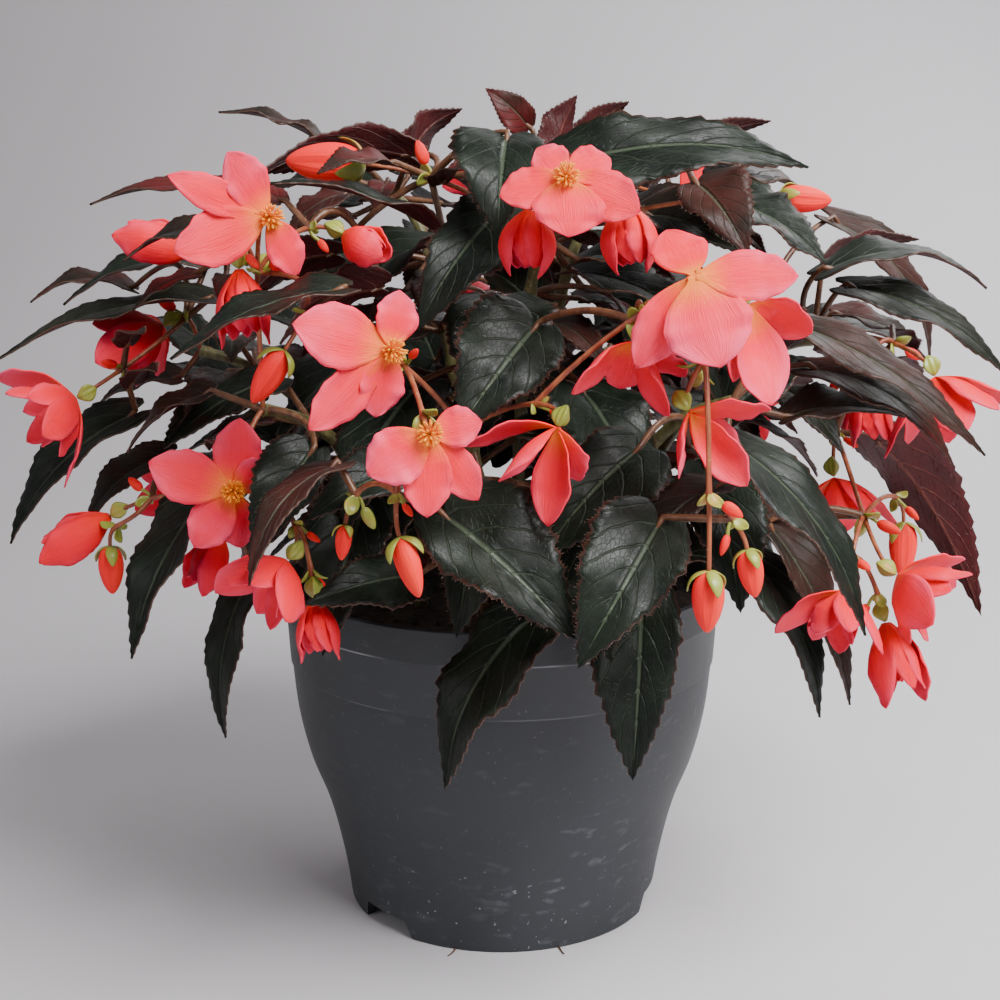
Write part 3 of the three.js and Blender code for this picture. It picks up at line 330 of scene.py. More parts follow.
# %% Leaves of the near side, mm
# each leaf: joint with the petiole, tip, width, the way the upper side faces
LEAVES = [
    # over the rim in front
    ((-24, -165, 244), (30, -188, 197), 48, SLANT),
    ((66, -160, 239), (31, -192, 186), 42, FRONT),
    ((15, -128, 190), (-25, -150, 116), 46, LEFT),
    ((63, -126, 200), (58, -148, 119), 40, FRONT),
    ((57, -146, 268), (16, -168, 226), 42, SLANT),
    ((90, -164, 256), (54, -190, 224), 24, LEFT),
    ((-40, -128, 208), (-84, -158, 203), 30, SLANT),
    ((-62, -104, 236), (-78, -140, 178), 40, SLANT),
    ((-8, -112, 236), (-20, -150, 186), 38, SLANT),
    ((36, -108, 226), (48, -142, 172), 34, SLANT),
    ((92, -112, 252), (104, -146, 196), 38, SLANT),
    # the widest on either side
    ((180, -60, 256), (238, -50, 166), 36, AWAY),
    ((-73, -110, 333), (-143, -130, 305), 34, UP),
    ((-182, -40, 265), (-239, -58, 205), 32, LEFT),
    ((150, -70, 240), (186, -66, 184), 30, AWAY),
    # the middle of the front
    ((14, -110, 316), (-19, -140, 276), 44, FRONT),
    ((-1, -90, 366), (-37, -130, 317), 38, SLANT),
    ((2, -95, 398), (-2, -128, 358), 40, SLANT),
    ((-30, -80, 357), (-101, -115, 379), 34, UP),
    ((-37, -150, 262), (-80, -178, 245), 28, SLANT),
    ((-73, -146, 261), (-104, -184, 219), 24, LEFT),
    ((-85, -120, 262), (-109, -142, 222), 30, FRONT),
    ((-55, -115, 334), (-93, -148, 314), 28, AWAY),
    ((-77, -85, 347), (-113, -108, 327), 26, AWAY),
    ((-108, -68, 287), (-156, -90, 258), 32, LEFT),
    ((102, -148, 269), (154, -166, 192), 34, RIGHT),
    ((131, -128, 248), (107, -146, 286), 28, FRONT),
    # low on the left
    ((-139, -90, 234), (-169, -118, 166), 34, LEFT),
    ((-122, -74, 190), (-132, -92, 118), 28, LEFT),
    ((-170, -16, 240), (-212, -20, 202), 24, LEFT),
    # high on the left
    ((-95, 20, 398), (-142, 12, 410), 26, UP),
    ((-46, -30, 390), (-113, -68, 380), 32, AWAY),
    ((-45, 0, 388), (-20, 18, 412), 28, AWAY),
    ((-134, 0, 371), (-206, 0, 365), 22, UP),
    ((-148, -20, 338), (-214, -30, 318), 34, UP),
    ((-194, 20, 322), (-242, 12, 315), 22, UP),
    ((-149, -10, 319), (-250, -28, 290), 32, UP),
    # the crown
    ((27, -60, 386), (145, -40, 384), 42, SLANT),
    ((12, -20, 404), (-8, -26, 421), 18, FRONT),
    ((26, -34, 392), (36, -22, 418), 20, AWAY),
    ((38, -20, 393), (62, -10, 415), 24, AWAY),
    ((84, 0, 388), (46, 0, 398), 24, AWAY),
    ((97, 30, 392), (139, 38, 406), 20, AWAY),
    ((90, 30, 388), (128, 22, 384), 30, AWAY),
    # high on the right
    ((87, -90, 378), (107, -118, 348), 30, FRONT),
    ((107, -88, 369), (142, -108, 344), 38, RIGHT),
    ((69, -60, 363), (110, -80, 346), 30, SLANT),
    ((160, -30, 336), (239, -20, 325), 34, UP),
    ((166, 4, 338), (213, 14, 347), 22, AWAY),
    ((173, -24, 326), (246, -40, 284), 28, RIGHT),
    ((176, 38, 354), (229, 42, 280), 26, RIGHT),
    ((135, -90, 315), (215, -116, 260), 28, RIGHT),
    ((148, 10, 301), (226, 20, 281), 32, UP),
    # low on the right
    ((150, -54, 290), (214, -70, 246), 26, RIGHT),
    ((121, -118, 227), (157, -130, 148), 26, RIGHT),
    ((114, -86, 208), (148, -108, 134), 32, RIGHT),
    # the furthest back
    ((24, 150, 262), (36, 200, 206), 38, BACK),
    ((-80, 150, 268), (-120, 206, 226), 38, BACK),
    ((110, 146, 262), (150, 198, 214), 38, BACK),
]
print("leaves wanted:", len(LEAVES))

# %% Open blooms, mm
# each bloom: name, middle, the way it faces, whether stamens show, and for each tepal its tip from
# the bloom's middle and its width
OPEN_BLOOMS = [
    ("bloom_left_top", (-99, -130, 366), (0.6, -0.8, 0), True,
     [(-34, -30, 18, 13), (-14, -13, 27, 16), (-33, -30, -13, 20), (13, 6, -25, 15)]),
    ("bloom_middle_left", (-46, -166, 314), (0.6, -0.8, 0), True,
     [(-35, -22, 13, 22), (5, 4, 24, 17), (-31, -20, -30, 17), (-5, -2, -28, 18)]),
    ("bloom_middle", (-29, -192, 284), (0.1, -0.9, 0.2), True,
     [(-24, -8, -15, 20), (-1, -6, -33, 17), (20, 2, -28, 14), (21, 4, 4, 14)]),
    ("bloom_left_low", (-120, -120, 245), (0.2, -0.95, 0.1), True,
     [(-35, -8, 14, 20), (4, 4, 32, 18), (17, 5, 12, 14), (3, 0, -27, 16), (-17, -6, -25, 17)]),
    ("bloom_front_bell", (22, -178, 284), (-0.4, -0.5, -0.75), False,
     [(-34, -6, -8, 15), (-22, -16, -20, 18), (-5, -10, -38, 20), (8, 2, -24, 18)]),
    ("bloom_top", (26, -150, 383), (0, -0.8, 0.3), True,
     [(-27, -6, -7, 16), (31, -2, -13, 18), (1, -12, -23, 25), (19, 8, 8, 15), (-12, 6, 12, 14)]),
    ("bloom_right", (76, -184, 346), (0.1, -0.85, 0.4), False,
     [(10, -14, -34, 30), (-23, -6, -36, 17), (-10, 14, 18, 20), (42, 4, 0, 18)]),
    ("bloom_right_back", (103, -150, 331), (0.4, -0.6, -0.6), False,
     [(24, -2, -12, 20), (10, -12, -38, 24), (-6, -10, -30, 18), (10, 6, -10, 14)]),
    ("bloom_right_bell", (53, -172, 318), (-0.1, -0.5, -0.85), False,
     [(-22, -10, -20, 20), (12, -14, -28, 22), (22, 4, -16, 18), (-4, 12, -22, 16)]),
    ("bloom_right_low", (76, -176, 290), (0.5, -0.5, -0.7), False,
     [(33, -2, 0, 16), (22, -12, -28, 20), (-4, -14, -24, 18), (20, 10, -22, 16)]),
]
print("open blooms wanted:", len(OPEN_BLOOMS))

# %% Hanging blooms and buds, mm
# each bloom: name, middle, facing, how far it is open in degrees, size, number of tepals
HANGING_BLOOMS = [
    ("bloom_left_bell", (-115, -112, 342), (0.1, -0.3, -1), 26, 34, 4),
    ("bloom_left_dark", (-147, -40, 345), (-0.9, 0.1, 0.2), 26, 38, 4),
    ("bloom_left_back", (-170, -12, 306), (-0.8, 0.1, -0.5), 46, 40, 4),
    ("bloom_left_edge", (-203, -60, 277), (-0.8, -0.4, -0.4), 50, 40, 5),
    ("bloom_left_under", (-132, -84, 216), (-0.4, -0.3, -0.8), 34, 30, 4),
    ("bloom_edge_low", (-190, -60, 219), (-0.85, -0.1, -0.5), 28, 38, 4),
    ("bloom_low_left", (-93, -150, 221), (-0.6, -0.5, -0.7), 44, 36, 4),
    ("bloom_low_bell", (-80, -160, 206), (0.1, -0.3, -1), 32, 27, 4),
    ("bloom_top_left_bell", (12, -128, 368), (-0.1, -0.2, -1), 30, 28, 4),
    ("bloom_top_right_bell", (52, -134, 370), (0.1, -0.2, -1), 30, 28, 4),
    ("bloom_edge_right", (204, -66, 288), (0.3, -0.3, -0.9), 46, 42, 4),
    ("bloom_right_inner", (183, 10, 270), (0.1, -0.2, -1), 32, 26, 4),
    ("bloom_right_behind", (166, -30, 232), (0.1, -0.3, -0.9), 42, 38, 4),
    ("bloom_corner_top", (178, -120, 206), (0.7, -0.3, -0.4), 50, 38, 4),
    ("bloom_corner_left", (153, -124, 200), (-0.3, -0.4, -0.8), 42, 34, 4),
    ("bloom_corner_low", (172, -128, 186), (0.2, -0.4, -0.9), 38, 38, 4),
    ("bloom_right_narrow", (174, -62, 283), (0.1, 0, -1), 18, 30, 4),
    ("bloom_pod", (-69, -106, 357), (0.8, -0.3, -0.4), 28, 22, 4),
]
# each bud: name, the end at the stalk, the way it points, length
BUDS = [
    ("bud_left_top", (-63, -60, 386), (-1, 0, 0.05), 37),
    ("bud_edge_low", (-189, -66, 206), (0, 0, -1), 24),
    ("bud_left", (-92, -144, 311), (-0.5, -0.2, -0.8), 26),
    ("bud_front", (-42, -185, 240), (0.3, -0.2, -0.9), 26),
    ("bud_front_small", (-66, -164, 240), (-0.1, -0.3, -0.9), 15),
    ("bud_top_right", (128, -60, 371), (1, 0, -0.05), 25),
    ("bud_front_right", (83, -197, 229), (0, 0, -1), 26),
    ("bud_right_low", (101, -178, 233), (0.2, 0, -1), 21),
    ("bud_right_red", (195, -58, 216), (0, -0.1, -1), 27),
]
print("hanging blooms wanted:", len(HANGING_BLOOMS), "buds:", len(BUDS))

# %% Inside and far side, mm
# rounds of broad leaves that hang one above the other: number, reach, height, fall
ROUNDS = [(5, 40, 348, 42), (6, 62, 312, 52), (7, 80, 272, 58), (7, 90, 236, 58), (6, 60, 216, 32)]
ROUND_LENGTH, ROUND_WIDTH = 80, 50
# the far side repeats leaves that stand in front of FAR_FROM and are at least FAR_WIDTH wide
FAR_FROM, FAR_WIDTH = -70, 42
FAR_BLOOMS = ["bloom_left_top", "bloom_left_low", "bloom_top",
              "bloom_right_bell", "bloom_corner_top", "bud_front"]
print("broad leaves wanted:", sum(count for count, *_ in ROUNDS), "far blooms:", len(FAR_BLOOMS))

# %% [markdown]
# ### Curves, room and blades
# Three small tools do the growing. A curve is a bowed stalk. The room is a grid of small cells, each
# marked with the number of the piece that fills it. A blade is a curved sheet between a joint and a
# tip, with a side that it shows: a leaf or a tepal.

# %% Vectors and curves
def vec(*xyz):
    return np.array(xyz, dtype=float)


def dot(a, b):
    return a[0] * b[0] + a[1] * b[1] + a[2] * b[2]


def length_of(v):
    return math.sqrt(dot(v, v))


def unit(v):
    return np.array(v, dtype=float) * (1 / length_of(v))


GOLDEN_TURN = 2.39996  # radians: things set round an axis by this turn never line up


def units(rows):
    """Each row of an array, at length 1."""
    return rows / np.sqrt((rows * rows).sum(axis=1))[:, None]


def turned(point, degrees, lift=0.0):
    c, s = math.cos(math.radians(degrees)), math.sin(math.radians(degrees))
    x, y, z = point
    return vec(x * c - y * s, x * s + y * c, z + lift)


class Curve:
    """A smooth curve through three or four guide points."""

    def __init__(self, *points):
        self.points = points

    def at(self, t):
        t = np.asarray(t, dtype=float)[..., None]
        k = 1 - t
        if len(self.points) == 3:
            a, b, c = self.points
            return k * k * a + 2 * k * t * b + t * t * c
        a, b, c, d = self.points
        return k * k * k * a + 3 * k * k * t * b + 3 * k * t * t * c + t * t * t * d

    def along(self, share):
        """The point at a share of the curve's own length."""
        t = np.linspace(0, 1, 201)
        steps = np.diff(self.at(t), axis=0)
        lengths = np.concatenate([[0], np.cumsum(np.sqrt((steps * steps).sum(axis=1)))])
        return self.at(np.interp(share * lengths[-1], lengths, t))

    def spaced(self, length, radius=0.0):
        """Points every 2 mm, and round them where the curve is thick."""
        steps = math.ceil(length / 2)
        points = self.at(np.arange(steps + 1) / steps)
        if radius > 2:
            sides = radius * np.concatenate([np.eye(3), -np.eye(3)])
            points = np.concatenate([points, (points[:, None] + sides[None]).reshape(-1, 3)])
        return points


print("half way along a bow:", Curve(vec(0, 0, 0), vec(0, 0, 10), vec(10, 0, 10)).at(0.5))

# %% Room between the pieces
CELL = 2.5  # mm
ROOM_LOW, ROOM_CELLS = vec(-280, -280, 0), (224, 224, 184)
EMPTY, SHARED = 0, -1  # a cell's number when nothing, or more than one piece, is near
AROUND = np.stack(np.meshgrid([-1, 0, 1], [-1, 0, 1], [-1, 0, 1], indexing="ij"), -1).reshape(-1, 3)
room = np.zeros(ROOM_CELLS, dtype=np.int16)
owners = iter(range(1, 10000))


def cells_of(points):
    return np.floor((points - ROOM_LOW) / CELL).astype(int)


def is_free(points, *friends):
    owner = room[tuple(cells_of(points).T)]
    return bool(np.isin(owner, (EMPTY, *friends)).all())


def fill(points, owner):
    """Marks the cells at some points, and those that touch them, with their owner's number."""
    cells = np.unique(cells_of(points), axis=0)
    cells = np.unique((cells[:, None] + AROUND[None]).reshape(-1, 3), axis=0)
    index = tuple(cells.T)
    room[index] = np.where(np.isin(room[index], (EMPTY, owner)), owner, SHARED)


print("cells in the room:", room.size)

# %% Blades: leaves and tepals
POINT_STEP = 2.2  # mm between the points that ask for room


class Blade:
    """A curved sheet. Along it u runs from its joint to its tip, w is how far out a point is."""

    def __init__(self, base, tip, face, width, arch=0.1, cup=0.2, ripple=0.0, lean=0.0):
        chord = tip - base
        self.length = length_of(chord)
        self.along = chord * (1 / self.length)
        up = face - self.along * dot(face, self.along)
        self.up = up * (1 / length_of(up))
        self.across = np.cross(self.along, self.up)
        self.base, self.half = base, width / 2
        self.arch, self.cup, self.ripple, self.lean = arch, cup, ripple, lean

    def at(self, u, w, lift=0.0):
        side = np.where(w < 0, -1.0, 1.0)
        out = w * self.half * (1 + side * self.lean)
        wave = self.ripple * self.half * w * w * np.sin(13 * u + side)
        rise = self.length * self.arch * 4 * u * (1 - u) + np.abs(out) * self.cup + wave + lift
        forward = self.along * (self.length * u)[..., None]
        return self.base + forward + self.across * out[..., None] + self.up * rise[..., None]

    def points(self, width_at, start):
        """Points all over the blade, about 2 mm apart."""
        rows = math.ceil((self.length * (1 - start)) / POINT_STEP)
        columns = max(2, math.ceil((self.half * 2) / POINT_STEP))
        u = start + ((1 - start) * np.arange(rows + 1)) / rows
        share = (2 * np.arange(columns + 1)) / columns - 1
        grid_u = np.repeat(u[:, None], columns + 1, axis=1)
        return self.at(grid_u, width_at(u)[:, None] * share[None]).reshape(-1, 3)


LOBE = 0.12  # how far a leaf's round lobes reach behind its joint, as a share of its length
LEAF_ROUND, LEAF_TAPER = 0.5, 1.15
TEPAL_ROUND, TEPAL_TAPER = 1.0, 0.85


def swelling(s, rounding, taper):
    """0 at both ends and 1 at the widest place: blunt or slender ends by the two powers."""
    peak = rounding / (rounding + taper)
    return (s ** rounding * (1 - s) ** taper) / (peak ** rounding * (1 - peak) ** taper)


def leaf_width(u):
    return swelling((u + LOBE) / (1 + LOBE), LEAF_ROUND, LEAF_TAPER)


def tepal_width(u):
    return swelling(u, TEPAL_ROUND, TEPAL_TAPER)


print("a leaf's width at its joint, as a share of its widest:", round(leaf_width(0.0), 2))

# %% Sizes of the solids, mm
ROOT_Z, STEM_RADIUS, STEM_STEPS, OUTER_REACH = 145, 3.6, 6, 100
STEM_FEET, SHOULDERS, SHOULDER_DROP = (20, 46), (0.1, 0.3), 12  # inner stem, outer stem
BLADE, STUB, TUFT_RADIUS, GAP = 1.0, 4, 4.6, 0.4
STALK_END, STALK_HOOK, BLOOM_REACH, SHORT_PETIOLE = 0.7, 14, 7, 34
RIM_RADIUS, RIM_TOP, BAND_FOOT, STEP_Z, FOOT_RADIUS, WALL, SOIL_TOP = 115, 177, 160, 133, 81.5, 2.4, 167
OUTSIDE = [
    (FOOT_RADIUS, 0), (86, 33), (93, 61), (100, 80), (109.5, STEP_Z), (110.4, STEP_Z),
    (112.4, BAND_FOOT), (RIM_RADIUS, BAND_FOOT), (RIM_RADIUS + 0.4, RIM_TOP),
]
EYE = vec(0, -842, 403)  # where the camera stands
print("the pot: rim radius", RIM_RADIUS, "height", RIM_TOP, "foot radius", FOOT_RADIUS)


# %% Stems take their room
def inside_radius(z):
    above = next(i for i, (_, height) in enumerate(OUTSIDE) if height > z)
    (low_radius, low), (high_radius, high) = OUTSIDE[above - 1], OUTSIDE[above]
    return low_radius + ((high_radius - low_radius) * (z - low)) / (high - low) - WALL


def fill_pot():
    """The pot and the soil take their room first."""
    points = []
    for z in range(40, RIM_TOP + 1, 2):
        radius = RIM_RADIUS if z > 150 else inside_radius(z) + WALL
        for turn in range(360):
            a = math.radians(turn)
            points.append((radius * math.cos(a), radius * math.sin(a), z))
    points += [(x, y, SOIL_TOP) for x in range(-110, 111, 2) for y in range(-110, 111, 2)]
    fill(np.array(points, dtype=float), next(owners))


def make_stem(turn, reach, height):
    a = math.radians(turn)
    outer = reach > OUTER_REACH
    start = STEM_FEET[outer]
    shoulder = start + (reach - start) * SHOULDERS[outer]
    places = [(start, ROOT_Z), (shoulder, height - SHOULDER_DROP), (reach, height)]
    curve = Curve(*[vec(r * math.cos(a), r * math.sin(a), z) for r, z in places])
    stem = {"curve": curve, "owner": next(owners), "leaves": [], "stalks": []}
    fill(curve.spaced(height - ROOT_Z + reach - start, STEM_RADIUS), stem["owner"])
    stem["joints"] = [curve.along(step / STEM_STEPS) for step in range(2, STEM_STEPS + 1)]
    return stem


fill_pot()
stems = [make_stem(*row) for row in STEMS]
joints = [(at, stem) for stem in stems for at in stem["joints"]]
print("stems:", len(stems), "joints:", len(joints))

# %% [markdown]
# ### Growing a leaf or a bloom
# A stalk may bow up or sideways to get past its neighbours. A leaf's petiole ends a few
# millimetres behind the blade, and a bloom's stalk comes from straight behind the bloom, as the
# real ones do, because the weight of the bloom turns it that way.

# %% Ways to a place
BOWS = [(10, 0), (22, 0), (6, 14), (6, -14), (22, 16), (22, -16), (-8, 0), (36, 0), (-8, 16),
        (-8, -16), (36, 24), (36, -24), (10, 30), (10, -30), (50, 0)]
NUDGES = (0, 5, -5, 10, -10, 16, -16, 22, -22, 30, -30, 38)
JOINTS_TRIED, FREE_DROP = 6, 30


def handiest(point, heading):
    """The joints that are near, behind the piece and not far above it."""
    def cost(joint):
        way = point - joint[0]
        drop = joint[0][2] - point[2] - FREE_DROP
        return length_of(way) + max(0, -dot(way, heading)) + max(0, drop)
    return sorted(joints, key=cost)[:JOINTS_TRIED]


def bow_point(start, end, bow):
    """The guide point of a stalk that bows up and sideways by so many millimetres."""
    way = end - start
    level = vec(-way[1], way[0], 0)
    level = level * (1 / (length_of(level) + 1e-6))
    return (start + end) * 0.5 + vec(0, 0, bow[0]) + level * bow[1]


def nudged(point, step):
    """Further along the line of sight, so that it looks the same from the camera."""
    return point + unit(point - EYE) * step


print("bows:", len(BOWS), "nudges:", len(NUDGES))


# %% Growing a leaf
def clear_of_blade(curve, blade, stub):
    """A petiole leaves its blade straight back between the lobes, or below or above them."""
    way = unit(curve.at(0.5) - stub)
    sideways, upright = abs(dot(way, blade.across)), abs(dot(way, blade.up))
    return dot(way, blade.along) < 0.2 and (sideways < 0.5 or upright > 0.5)


def grow_leaf(leaf, nudges=NUDGES, longest=1000):
    for nudge in nudges:
        blade = Blade(nudged(leaf["base"], nudge), nudged(leaf["tip"], nudge), leaf["face"], leaf["width"],
                      leaf["arch"], 0.22, 0.14, leaf["lean"])
        points = blade.points(leaf_width, -LOBE * 0.9)
        if not is_free(points):
            continue
        stub = blade.base + blade.along * -STUB
        for at, stem in handiest(blade.base, blade.along):
            for bow in BOWS:
                curve = Curve(at, bow_point(at, stub, bow), stub)
                distance = length_of(at - stub)
                path = curve.spaced(distance + 20)
                fits = distance < longest and is_free(path, stem["owner"])
                if fits and clear_of_blade(curve, blade, stub):
                    fill(points, next(owners))
                    fill(path, stem["owner"])
                    straight = distance < SHORT_PETIOLE
                    guide = Curve(at, (at + stub) / 2, stub) if straight else curve
                    stem["leaves"].append({"blade": blade, "petiole": guide})
                    return True
    return False


print("ways that a petiole may take:", JOINTS_TRIED * len(BOWS))

# %% [markdown]
# The tepals of an open bloom have their places in the table. Those of a hanging bloom stand in a ring
# round its axis, every other one of them a little shorter and less open.

# %% A bloom's tepals and a bud's skin, as room
INNER_OPENING, INNER_REACH = 0.64, 0.84  # of an inner tepal, as shares of an outer one's


def hanging_tips(face, opening, size, tepals):
    helper = vec(0, 1, 0) if abs(face[2]) > 0.9 else vec(0, 0, 1)
    level = unit(np.cross(helper, face))
    upright = np.cross(face, level)
    spread = math.sin(math.radians(opening)) * math.tan(math.pi / tepals)
    tips = []
    for tepal in range(tepals):
        inner = tepal % 2 == 1
        a = (2 * math.pi * tepal) / tepals
        lean = math.radians(opening * INNER_OPENING if inner else opening)
        reach = size * (INNER_REACH if inner else 1)
        tip = face * (reach * math.cos(lean))
        tip = tip + level * (reach * math.sin(lean) * math.cos(a))
        tip = tip + upright * (reach * math.sin(lean) * math.sin(a))
        tips.append((tip, reach * min(0.56, 0.76 * spread)))
    return tips


def tepal_blades(bloom, at):
    face = bloom["face"]
    first = bloom["tips"][0][0]
    level = unit(first + face * -dot(face, first))
    upright = np.cross(face, level)

    def turn_of(pair):
        a = math.atan2(dot(pair[0], upright), dot(pair[0], level))
        return a + 2 * math.pi if a < -1e-6 else a

    blades = []
    for tip, width in sorted(bloom["tips"], key=turn_of):
        outwards = unit(tip + face * -dot(face, tip))
        closed = dot(face, tip) > 0.6 * length_of(tip)
        up = face - outwards if closed else face
        blades.append(Blade(at, at + tip, up, width, -0.14 if closed else -0.05, 0.1))
        blades[-1].closed = closed
    return blades


def turn_from_up(face):
    """The shortest turn that brings +Z to a bloom's face, as a matrix."""
    if face[2] < -1 + 1e-8:
        return np.diag([-1.0, 1.0, -1.0])
    x, y, z = face
    k = 1 / (1 + z)
    return np.array([[1 - x * x * k, -x * y * k, x], [-x * y * k, 1 - y * y * k, y], [-x, -y, z]])


def bud_points(bloom, at):
    size = bloom["size"]
    middle = at + bloom["face"] * (size / 2)
    rows, columns = np.meshgrid(np.arange(5) / 4, np.arange(7) / 6, indexing="ij")
    theta, phi = rows.ravel() * math.pi, columns.ravel() * 2 * math.pi
    ball = np.stack([-np.cos(phi) * np.sin(theta), -np.sin(phi) * np.sin(theta), np.cos(theta)], axis=1)
    skin = (ball * vec(size * 0.26, size * 0.2, size / 2)) @ turn_from_up(bloom["face"]).T + middle
    return np.concatenate([skin, (skin + middle) / 2])


print("widths of a bell's tepals, mm:", [round(width, 1) for _, width in hanging_tips(unit(UP), 30, 28, 4)])

# %% Growing a bloom
blooms = []


def grow_bloom(bloom):
    owner = next(owners)
    face = bloom["face"]
    for nudge in NUDGES:
        at = nudged(bloom["at"], nudge)
        blades = tepal_blades(bloom, at) if bloom["tips"] else []
        if blades:
            points = np.concatenate([blade.points(tepal_width, 0) for blade in blades])
        else:
            points = bud_points(bloom, at)
        if not is_free(points):
            continue
        end = at + face * (-BLADE / 2 - STALK_END if blades else -GAP)
        behind = at + face * -STALK_HOOK
        for start, stem in handiest(behind, face):
            for bow in BOWS:
                curve = Curve(start, bow_point(start, behind, bow), behind, end)
                path = curve.spaced(length_of(start - end) + 30)
                far = path[((path - at) ** 2).sum(axis=1) > BLOOM_REACH ** 2]
                if is_free(far, stem["owner"]):
                    fill(points, owner)
                    fill(path, stem["owner"])
                    fork = curve.along(2 / 3)
                    joints.append((fork, stem))
                    stem["stalks"].append({"curve": curve, "fork": fork})
                    blooms.append({**bloom, "middle": at, "blades": blades})
                    return True
    return False


print("a stalk starts behind its bloom, mm:", STALK_HOOK)

# %% [markdown]
# ### The far side and the inside
# Nobody has seen the back of the plant, but it has one. Pieces of the front are turned half round the
# pot and a little more or less, by a draw that gives the same numbers in every run. Rounds of broad
# leaves, one above the other, close the inside.

# %% Copies for the far side
seed, MULTIPLIER, MODULUS = 20117, 48271, 2147483647


def draw(low, high):
    """The next number of a fixed row of chance numbers, the same row as the solids have."""
    global seed
    seed = (seed * MULTIPLIER) % MODULUS
    return low + ((high - low) * seed) / MODULUS


def far_copy(piece):
    turn = 180 + draw(-10, 10)
    lift = draw(-8, 8)
    copy = {**piece, "face": turned(piece["face"], turn)}
    for key in ("base", "tip", "at"):
        if key in piece:
            copy[key] = turned(piece[key], turn, lift)
    if piece.get("tips"):
        copy["tips"] = [(turned(tip, turn), width) for tip, width in piece["tips"]]
    if "name" in piece:
        copy.update(name="far_" + piece["name"], stamens=False)
    return copy


print("the row of chance numbers starts with:", seed)

# %% Rounds of broad leaves
def round_leaf(tier, index, shift):
    """One leaf of a round: its joint stands at the round's reach and height, its tip falls."""
    count, reach, height, fall = tier
    out = math.sqrt(ROUND_LENGTH ** 2 - fall ** 2)
    turn = (360 * (index + shift)) / count + draw(-6, 6)
    return {
        "base": turned((reach, 0, height), turn),
        "tip": turned((reach + out, 0, height - fall), turn),
        "face": unit(turned((fall, 0, out), turn)),
        "width": ROUND_WIDTH,
        "arch": 0.1,
        "lean": 0.14 if index % 2 else -0.14,
    }


def grow_round_leaf(leaf):
    """Tries a broad leaf smaller, turned and lifted until it fits."""
    for scale in (1, 0.8, 0.6):
        for swing in (0, 7, -7, 14, -14):
            for lift in (0, 10, -10):
                tip = leaf["base"] + (leaf["tip"] - leaf["base"]) * scale
                moved = {
                    **leaf,
                    "base": turned(leaf["base"], swing, lift),
                    "tip": turned(tip, swing, lift),
                    "face": turned(leaf["face"], swing),
                    "width": leaf["width"] * scale,
                }
                if grow_leaf(moved, (0,)):
                    return True
    return False


print("length of a broad leaf, mm:", ROUND_LENGTH, "width:", ROUND_WIDTH)

# %% The whole plant takes its place
def wanted(name, at, face, tips, **more):
    """A bloom or a bud before it has found its place."""
    return {"name": name, "at": vec(*at), "face": unit(face), "tips": tips, "stamens": False, **more}


near_blooms = []
for name, at, face, stamens, tips in OPEN_BLOOMS:
    tips = [(vec(x, y, z), width) for x, y, z, width in tips]
    near_blooms.append(wanted(name, at, face, tips, stamens=stamens))
for name, at, face, opening, size, tepals in HANGING_BLOOMS:
    tips = hanging_tips(unit(face), opening, size, tepals)
    near_blooms.append(wanted(name, at, face, tips, opening=opening))
for name, at, face, size in BUDS:
    near_blooms.append(wanted(name, at, face, [], size=size))
near_leaves = [
    {"base": vec(*base), "tip": vec(*tip), "face": unit(face), "width": width,
     "arch": 0.08 + 0.04 * (index % 3), "lean": 0.16 if index % 2 else -0.16}
    for index, (base, tip, width, face) in enumerate(LEAVES)
]
for bloom in near_blooms:
    grow_bloom(bloom)
for leaf in near_leaves:
    grow_leaf(leaf)
for shift, tier in enumerate(ROUNDS):
    for index in range(tier[0]):
        grow_round_leaf(round_leaf(tier, index, shift / 2))
for name in FAR_BLOOMS:
    grow_bloom(far_copy(next(bloom for bloom in near_blooms if bloom["name"] == name)))
for leaf in near_leaves:
    if leaf["base"][1] < FAR_FROM and leaf["width"] >= FAR_WIDTH:
        grow_leaf(far_copy(leaf))
print("leaves:", sum(len(stem["leaves"]) for stem in stems), "blooms:", len(blooms))

# %% [markdown]
# Between the full-grown leaves, every joint of a begonia's cane pushes out young ones. They are too
# small to matter to the solids, but they hide the bare stalks. They look for free room as the others
# did, well inside the plant's outline.

# %% Young leaves
chance = random.Random(31)
YOUNG_FRONT = -95  # none grows nearer to the viewer than this
YOUNG_SHARES = (0.45, 0.6, 0.75, 0.9)  # where they start on each cane, besides at the joints
YOUNG_LONG, YOUNG_SHORT, YOUNG_ROUNDS, YOUNG_PETIOLE = 76, 24, 46, 42
PLANT_REACH, PLANT_MIDDLE, PLANT_HALF = 232, 285, 130  # an ellipse round the plant, seen from the side


def young_leaf(joint, turn, length):
    out = turned((1, 0, 0), turn)
    fall = chance.uniform(-0.75, 0.35)
    base = joint + out * chance.uniform(6, 34) + vec(0, 0, chance.uniform(-12, 14))
    tip = base + unit(out + vec(0, 0, fall)) * length
    level = math.hypot(tip[0], tip[1])
    outside = (level / PLANT_REACH) ** 2 + ((tip[2] - PLANT_MIDDLE) / PLANT_HALF) ** 2 > 0.9
    if outside or min(base[1], tip[1]) < YOUNG_FRONT:
        return None
    return {
        "base": base,
        "tip": tip,
        "face": unit(vec(0, 0, 1) - out * fall * 0.8 + vec(0, -0.35, 0)),
        "width": length * chance.uniform(0.44, 0.56),
        "arch": 0.1,
        "lean": chance.choice((0.16, -0.16)),
    }


